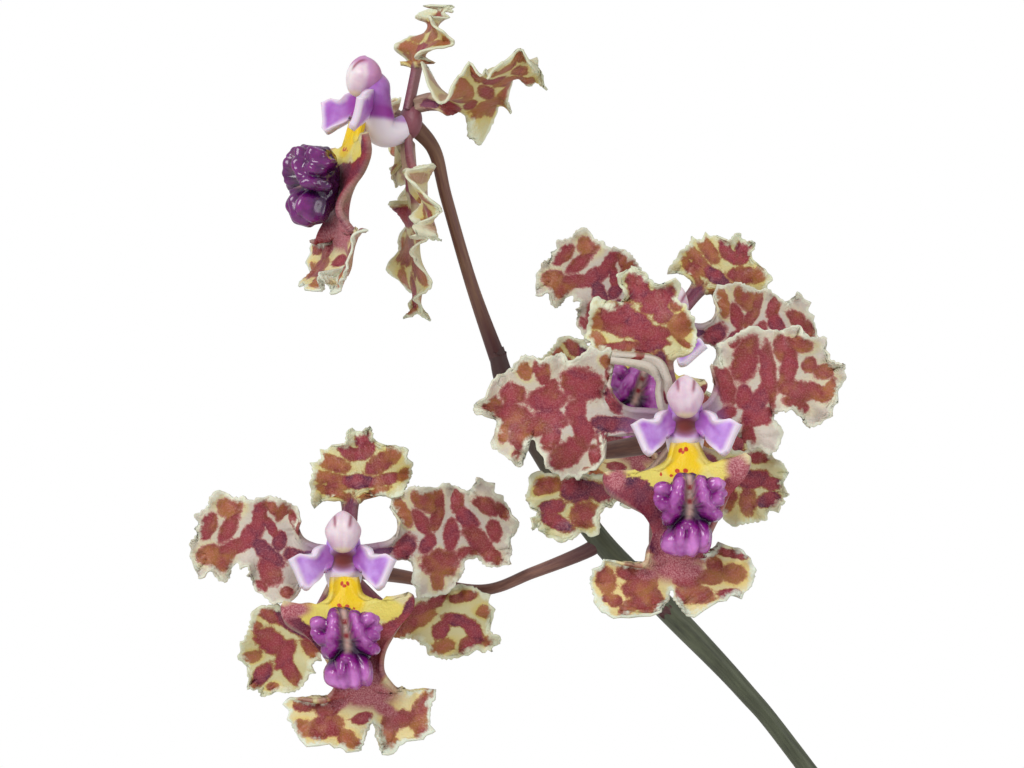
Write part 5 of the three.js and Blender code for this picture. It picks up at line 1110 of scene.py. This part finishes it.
# Lip tissue: as the petals', but with a bright yellow throat, lemon side lobes where they are bare of
# blotches, and a coarse rosy bloom on the waist that sparkles like sugar. Red dots under half a millimetre
# wide mark the throat.
lip_tissue, tree, shader, blotched, grain, mask = petal_skin(
    "blotched_lip_tissue", "#D8CC9C", "#DCC270", "#A86C4C", "#D8DECC", "#D8B848")
throat = node(tree, "Attribute", attribute_name="throat")
lemon = node(tree, "Attribute", attribute_name="lemon")
parts = node(tree, "SeparateXYZ", links={"Vector": (throat, "Vector")})
sugar = node(tree, "MapRange", {"From Min": 0.35, "From Max": 0.68}, {"Value": (grain, "Fac")})
rosy = node(tree, "Mix", {6: "#963A48", 7: "#C4848A"}, {0: (sugar, "Result")}, data_type="RGBA")
bare = node(tree, "MapRange", {"To Min": 1.0, "To Max": 0.0}, {"Value": mask})
soft_lemon = node(tree, "MapRange", {"From Max": 0.4}, {"Value": (lemon, "Fac")},
                  interpolation_type="SMOOTHSTEP")
bare_lemon = node(tree, "Math", links={0: (bare, "Result"), 1: (soft_lemon, "Result")}, operation="MULTIPLY")
soft_rose = node(tree, "MapRange", {"From Min": -0.3, "From Max": 0.5}, {"Value": (parts, "Y")},
                 interpolation_type="SMOOTHSTEP")
soft_yellow = node(tree, "MapRange", {"From Max": 0.35}, {"Value": (parts, "X")},
                   interpolation_type="SMOOTHSTEP")
dots = node(tree, "MapRange", {"From Max": 0.25}, {"Value": (parts, "Z")})
lobed = node(tree, "Mix", {7: "#E4D268"}, {0: (bare_lemon, "Value"), 6: blotched}, data_type="RGBA")
waisted = node(tree, "Mix", links={0: (soft_rose, "Result"), 6: (lobed, 2), 7: (rosy, 2)}, data_type="RGBA")
sunny = node(tree, "Mix", {7: "#EBC60F"}, {0: (soft_yellow, "Result"), 6: (waisted, 2)}, data_type="RGBA")
dotted = node(tree, "Mix", {7: "#C23A16"}, {0: (dots, "Result"), 6: (sunny, 2)}, data_type="RGBA")
wire(shader, {"Base Color": (dotted, 2)})

LIP_GRID = (110, 70)
for name, bloom in BLOOMS.items():
    # A lip's rows run downwards, so it is the second of its two skins that faces out.
    form = LIPS[bloom["form"]]
    points, faces, marks = blade(form, {}, form["blotches"], *LIP_GRID, thick=0.42, seed=1.3)
    u, v, _ = marks["flat"].T
    *fields, marks["lemon"] = [pigment([(*ellipse, 0) for ellipse in form[zone]], u, v)[0]
                               for zone in ("yellow", "rose", "red", "lemon")]
    marks["throat"] = np.stack(fields, axis=1)
    body = ease(-3.8, -5.0, v) * ease(-10.5, -9.3, v) if name == "upper" else 0
    marks["field"] = marks["field"] + 0.12 + body
    marks["hue"] = marks["hue"] - 0.3 * body
    marks["face"] = 1 - marks["face"]
    made = piece(f"{name}_bloom_lip", set_out(bloom, points), faces, lip_tissue, marks)
    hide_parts(f"{name}_lip")
    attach(made, "root")

# Calluses: a solid, waxy crest of warts and ridges on each lip, with a pale furrow down its middle. It is
# grown there to steer the bees. Each wart is its place from the core and its half sizes, as u, v, w.
CALLUS = {
    "at": (0.1, -5.7, 2.4),
    "warts": [
        (0, -0.1, 0, 1.7, 2.6, 1.4), (-0.1, -2.1, 0.5, 1.35, 1.1, 1.2), (-1.8, 1.4, 1.2, 0.66, 0.5, 0.8),
        (-1.95, 0.85, 0.7, 0.66, 0.5, 1.0), (-1.7, 0.3, 1.1, 0.66, 0.5, 0.85),
        (1.85, 1.7, 1.15, 0.66, 0.52, 0.85), (2.0, 1.15, 0.6, 0.68, 0.52, 1.0),
        (1.85, 0.6, 1.1, 0.66, 0.5, 0.85), (-0.62, 1.7, 1.1, 0.46, 0.72, 1.3),
        (-0.82, 0.9, 1.4, 0.56, 0.95, 1.3), (-1.05, -0.05, 1.2, 0.58, 0.75, 1.3),
        (-1.4, -0.65, 0.9, 0.52, 0.55, 1.2), (0.78, 1.7, 1.1, 0.46, 0.7, 1.3),
        (1.0, 0.9, 1.4, 0.58, 0.95, 1.3), (1.35, 0.0, 1.1, 0.72, 0.75, 1.3),
        (1.7, -0.45, 0.9, 0.62, 0.5, 1.25), (-1.3, -2.35, 0.6, 0.72, 0.85, 1.3),
        (-0.55, -2.0, 1.0, 0.6, 1.15, 1.3), (0.3, -2.1, 1.25, 0.55, 1.3, 1.3),
        (1.1, -2.05, 0.9, 0.55, 1.1, 1.35), (-0.1, -1.1, 1.3, 0.6, 0.5, 1.0)],
    "sharp": 10,
    "grid": (96, 104),
}


def callus_reach(ways):
    """Distance to the callus's surface along unit directions: for each wart the far root of
    |d / half x - place / half| = 1, then a soft maximum, (sum of roots ^ sharp) ^ (1 / sharp)."""
    place, half = np.array(CALLUS["warts"])[:, None, :3], np.array(CALLUS["warts"])[:, None, 3:]
    way, place = ways[None] / half, place / half
    square, meet = (way ** 2).sum(axis=-1), (way * place).sum(axis=-1)
    inside = meet ** 2 - square * ((place ** 2).sum(axis=-1) - 1)
    roots = np.where(inside > 0, (meet + np.sqrt(np.maximum(inside, 0))) / square, 0)
    return (np.maximum(roots, 0) ** CALLUS["sharp"]).sum(axis=0) ** (1 / CALLUS["sharp"])


# Callus wax: wet-looking glossy purple, with a cream-pink furrow between the ridges and blood-red dots in
# it. Its crests are painted lighter, partly as paler tissue and partly as a painted highlight, and its
# creases are painted nearly black as painted shade.
callus_wax, tree, shader = finish("glossy_purple_callus", Roughness=0.22, IOR=1.45, Coat_Weight=0.5,
                                  Coat_Roughness=0.1, Subsurface_Weight=0.15, Subsurface_Scale=0.0006)
here = (node(tree, "TexCoord"), "Object")
crest = node(tree, "Attribute", attribute_name="crest")
cloud = node(tree, "TexNoise", {"Scale": 1400.0, "Detail": 4.0}, {"Vector": here})
# The ramp runs from painted crease shade, nearly black, through the purple to a painted crest highlight in
# pale lilac; the noise only varies it at random.
stand = node(tree, "Math", {1: 0.5}, {0: (cloud, "Fac"), 2: (crest, "Fac")}, operation="MULTIPLY_ADD")
purple = node(tree, "ValToRGB", links={"Fac": (stand, "Value")},
              stops=[(0.28, "#30053A"), (0.66, "#84167E"), (1.0, "#CE7CCE")])
furrow = node(tree, "Attribute", attribute_name="furrow")
parts = node(tree, "SeparateXYZ", links={"Vector": (furrow, "Vector")})
dotted = (purple, "Color")
for part, tint in (("X", "#D9B3A8"), ("Y", "#A01024")):
    layer = node(tree, "Mix", {7: tint}, {0: (parts, part), 6: dotted}, data_type="RGBA")
    dotted = (layer, 2)
bump = node(tree, "Bump", {"Strength": 0.35, "Distance": 0.00008}, {"Height": (cloud, "Fac")})
wire(shader, {"Base Color": dotted, "Normal": (bump, "Normal")})

rows, columns = CALLUS["grid"]
b = np.linspace(-np.pi / 2, np.pi / 2, rows + 2)[1:-1, None]
a = np.linspace(0, 2 * np.pi, columns, endpoint=False)[None, :]
ways_out = np.stack(np.broadcast_arrays(np.cos(b) * np.sin(a), np.sin(b) + 0 * a, np.cos(b) * np.cos(a)),
                    axis=-1)
reach = callus_reach(ways_out.reshape(-1, 3)).reshape(rows, columns, 1)
core = 1 / np.linalg.norm(ways_out / np.array(CALLUS["warts"][0][3:]), axis=-1)
warty = 0.045 * (np.sin(8 * ways_out[..., 0] + 3 * np.sin(5 * ways_out[..., 1]))
                 * np.sin(7 * ways_out[..., 1] + 3 * np.sin(6 * ways_out[..., 2])))
body = ways_out * (reach + warty[..., None] * reach)
for name, bloom in BLOOMS.items():
    form = LIPS[bloom["form"]]
    lean = 0.13 if bloom["form"] == "pale" else 0.0
    knots = [-point[2] for point in form["spine"]]
    skin = body + CALLUS["at"]
    skin[..., 0] -= lean * (skin[..., 1] + 3.5)
    bed = smooth(knots, [point[3] for point in form["spine"]], -skin[..., 1].ravel()).reshape(rows, columns)
    back = bed + 0.5 * (form["cup"][0] + 0.3) + 0.35
    skin[..., 2] = np.maximum(skin[..., 2], back + 0.1 * ways_out[..., 2])
    points, faces = closed_rings(skin)
    # Painted light: the crest mark lightens the crests as a painted highlight and leaves the creases dark as
    # painted shade, and the parts turned away from the bloom's front are made darker still as painted shade.
    # The upper bloom gets less than half of it.
    bright = 0.45 if name == "upper" else 1.0
    painted_front_light = 0.3 + 0.7 * ease(-0.4, 0.5, ways_out[..., 2])
    crest_and_painted_light_mark = bright * np.clip(0.38 * (reach[..., 0] - core), 0, 0.75) * painted_front_light
    middle_u = 0.15 - lean * (skin[..., 1] + 3.5)
    off = (skin[..., 0] - middle_u) / 0.26
    pale_mark = np.exp(-off ** 2) * ease(-6.6, -6.0, skin[..., 1]) * ease(0, 0.4, ways_out[..., 2])
    dot_mark = sum(np.exp(-((skin[..., 0] - middle_u) / 0.2) ** 4 - ((skin[..., 1] - high) / 0.2) ** 4)
                   for high in (-4.2, -5.2)) * ease(0, 0.4, ways_out[..., 2])
    streaks = np.stack([pale_mark, dot_mark, 0 * dot_mark], axis=-1).reshape(-1, 3)
    made = piece(f"{name}_bloom_callus", set_out(bloom, points), faces, callus_wax, {
        "crest": np.concatenate([crest_and_painted_light_mark.ravel(), [0.1, 0.1]]),
        "furrow": np.concatenate([streaks, np.zeros((2, 3))]),
    })
    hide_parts(f"{name}_callus")
    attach(made, "root")

# Columns: the short fleshy pillar above each lip, with a sticky brown-red hollow on its face for the pollen
# and an angular lilac wing on each side. It stands on a white foot.
COLUMN = {
    "path": [(0, -0.8, -4.1), (0, -1.4, -3.2), (0, -1.5, -2.3), (0, -0.9, -1.6), (0, 0, -1.25),
             (0, 1, -1.1), (0, 2, -1.2), (0, 2.75, -1.2)],
    "radius": [0.85, 1.0, 1.2, 1.38, 1.36, 1.3, 1.05, 0.25],
    "grid": (84, 64),
}
STIGMA = {"at": (0, 0.12), "half": (0.98, 0.72), "deep": 0.7}
WING = {
    "left": [(0.85, -0.4), (1.2, -0.65), (1.6, -1.0), (2.0, -1.5), (2.5, -1.95), (2.95, -1.7)],
    "right": [(0.85, 0.9), (1.3, 1.25), (1.9, 1.0), (2.2, 0.55), (3.2, 0.6), (3.8, 0.25)],
    "spine": [(0, 0.85, 0.1, -0.7), (2, 1.7, 0.0, -0.1), (5, 3.35, -0.8, 1.25)],
    "cup": (0.25, 0.15), "wave": 0.22, "waves": 1.4, "shift": 0.2, "toothed": (2, 3),
}
WING_GRID = (40, 30)

# Column flesh: satin lilac that sparkles faintly, stronger magenta at the wings' roots, white at the wing
# edges and the foot. The hollow is moist brown-red.
column_flesh, tree, shader = finish("lilac_column_flesh", Roughness=0.35, IOR=1.42, Subsurface_Weight=0.2,
                                    Subsurface_Scale=0.0006)
here = (node(tree, "TexCoord"), "Object")
stain = node(tree, "Attribute", attribute_name="stain")
parts = node(tree, "SeparateXYZ", links={"Vector": (stain, "Vector")})
cloud = node(tree, "TexNoise", {"Scale": 700.0, "Detail": 5.0}, {"Vector": here})
lilac = node(tree, "ValToRGB", links={"Fac": (cloud, "Fac")}, stops=[(0.36, "#A45CC0"), (0.64, "#C79AE4")])
stained = (lilac, "Color")
for part, tint in (("X", "#E9DFEA"), ("Z", "#97309A"), ("Y", "#7A2F2A")):
    layer = node(tree, "Mix", {7: tint}, {0: (parts, part), 6: stained}, data_type="RGBA")
    stained = (layer, 2)
bump = node(tree, "Bump", {"Strength": 0.25, "Distance": 0.00005}, {"Height": (cloud, "Fac")})
wire(shader, {"Base Color": stained, "Normal": (bump, "Normal")})

x = np.linspace(0, len(COLUMN["path"]) - 1, COLUMN["grid"][0])
radius = through(np.array(COLUMN["radius"])[:, None], x)[:, 0]
pillar = bar(through(COLUMN["path"], x), radius, COLUMN["grid"][1])
off = (((pillar[..., :2] - STIGMA["at"]) / STIGMA["half"]) ** 2).sum(axis=-1)
hollow = np.exp(-off ** 2) * ease(-0.9, -0.3, pillar[..., 2])
pillar[..., 2] -= STIGMA["deep"] * hollow
pillar_points, pillar_faces = closed_rings(pillar)
foot = ease(-0.45, -0.95, pillar[..., 1])
band = np.exp(-((pillar[..., 1] + 0.2) / 0.5) ** 2)
beside = ease(0.55, 1.2, np.abs(pillar[..., 0])) * (1 - hollow)
pale = np.maximum(foot, 0.35 * (1 - beside))
pillar_stain = np.stack([pale, hollow ** 0.6, 0.75 * band * beside], axis=-1)
pillar_stain = np.concatenate([pillar_stain.reshape(-1, 3), [[0.5, 0, 0], [0.5, 0, 0]]])
wing_points, wing_faces, wing_marks = blade(WING, {}, [(0, 0, 1, 1, 0, 0)], *WING_GRID, thick=0.34)
root_tone = ease(2.0, 0.8, wing_points[:, 0])
white_edge = ease(0.42, 0.0, wing_marks["rim"] - 9) * ease(1.0, 1.5, wing_points[:, 0])
wing_stain = np.stack([0.9 * white_edge, 0 * root_tone, 0.65 * root_tone], axis=-1)
mirrored = (wing_points * [-1, 1, 1], [face[::-1] for face in wing_faces])
points, faces = joined([(pillar_points, pillar_faces), (wing_points, wing_faces), mirrored])
stains = np.concatenate([pillar_stain, wing_stain, wing_stain])
for name, bloom in BLOOMS.items():
    flush = 0.35 * (1 - stains[:, 0]) if name == "upper" else 0
    own = np.column_stack([stains[:, :2], np.clip(stains[:, 2] + flush, 0, 0.9)])
    made = piece(f"{name}_bloom_column", set_out(bloom, points), faces, column_flesh, {"stain": own})
    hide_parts(f"{name}_column")
    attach(made, "root")

# Anther caps: a loose little helmet over the pollen on each column's tip, held by a hinge of tissue behind.
# It is blunt below, faintly furrowed in front, white-pink with two maroon streaks and a cream lower lip.
CAP = {"at": (0, 2.2, -0.3), "size": (1.35, 1.5, 1.3), "grid": (60, 72)}

# Cap tissue: thin, waxy and smooth, so light goes some way into it. The two streaks are a quarter of a
# millimetre wide.
cap_tissue, tree, shader = finish("waxy_anther_cap", Roughness=0.32, IOR=1.42, Subsurface_Weight=0.25,
                                  Subsurface_Scale=0.0007)
here = (node(tree, "TexCoord"), "Object")
stain = node(tree, "Attribute", attribute_name="stain")
parts = node(tree, "SeparateXYZ", links={"Vector": (stain, "Vector")})
cloud = node(tree, "TexNoise", {"Scale": 520.0, "Detail": 5.0}, {"Vector": here})
white = node(tree, "ValToRGB", links={"Fac": (cloud, "Fac")}, stops=[(0.36, "#CFAFC2"), (0.62, "#E9DEE0")])
stained = (white, "Color")
for part, tint in (("X", "#EBDDB8"), ("Z", "#B04FA6"), ("Y", "#8A3350")):
    layer = node(tree, "Mix", {7: tint}, {0: (parts, part), 6: stained}, data_type="RGBA")
    stained = (layer, 2)
bump = node(tree, "Bump", {"Strength": 0.2, "Distance": 0.00005}, {"Height": (cloud, "Fac")})
wire(shader, {"Base Color": stained, "Normal": (bump, "Normal")})

b = np.linspace(-np.pi / 2, np.pi / 2, CAP["grid"][0] + 2)[1:-1, None]
a = np.linspace(0, 2 * np.pi, CAP["grid"][1], endpoint=False)[None, :]
low = ease(0.2, -1.0, np.sin(b))
blunt = np.cos(b) ** (1.0 - 0.3 * low)
helmet = np.stack(np.broadcast_arrays(
    blunt * np.sin(a) * (1 - 0.16 * low - 0.24 * ease(0, 1, np.sin(b))),
    np.sin(b) * (1 + 0.04 * np.cos(a)) + 0 * a,
    blunt * np.cos(a) * (1 + 0.1 * low)), axis=-1)
groove = np.exp(-(helmet[..., 0] / 0.16) ** 2) * ease(0.2, 0.8, helmet[..., 2])
helmet[..., 2] -= 0.07 * groove
cap_points, cap_faces = closed_rings(helmet * CAP["size"] + CAP["at"])
u, v, w = cap_points.T
beside = (np.abs(u) - 0.45 - 0.12 * (v - 2)) / 0.13
streak = np.exp(-beside ** 2) * ease(2.3, 2.8, v) * ease(3.6, 3.3, v) * ease(-0.3, 0.2, w)
cream = 0.8 * ease(1.25, 0.85, v) * ease(-0.2, 0.3, w)
for name, bloom in BLOOMS.items():
    flush = 0.12 * ease(0.6, 2.2, v)
    if name == "upper":
        flush = 0.7 * np.maximum(ease(2.7, 3.4, v), ease(0.2, -0.3, w))
    made = piece(f"{name}_bloom_anther_cap", set_out(bloom, cap_points), cap_faces, cap_tissue,
                 {"stain": np.stack([cream, 0.85 * streak, flush], axis=-1)})
    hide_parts(f"{name}_anther_cap")
    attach(made, "root")
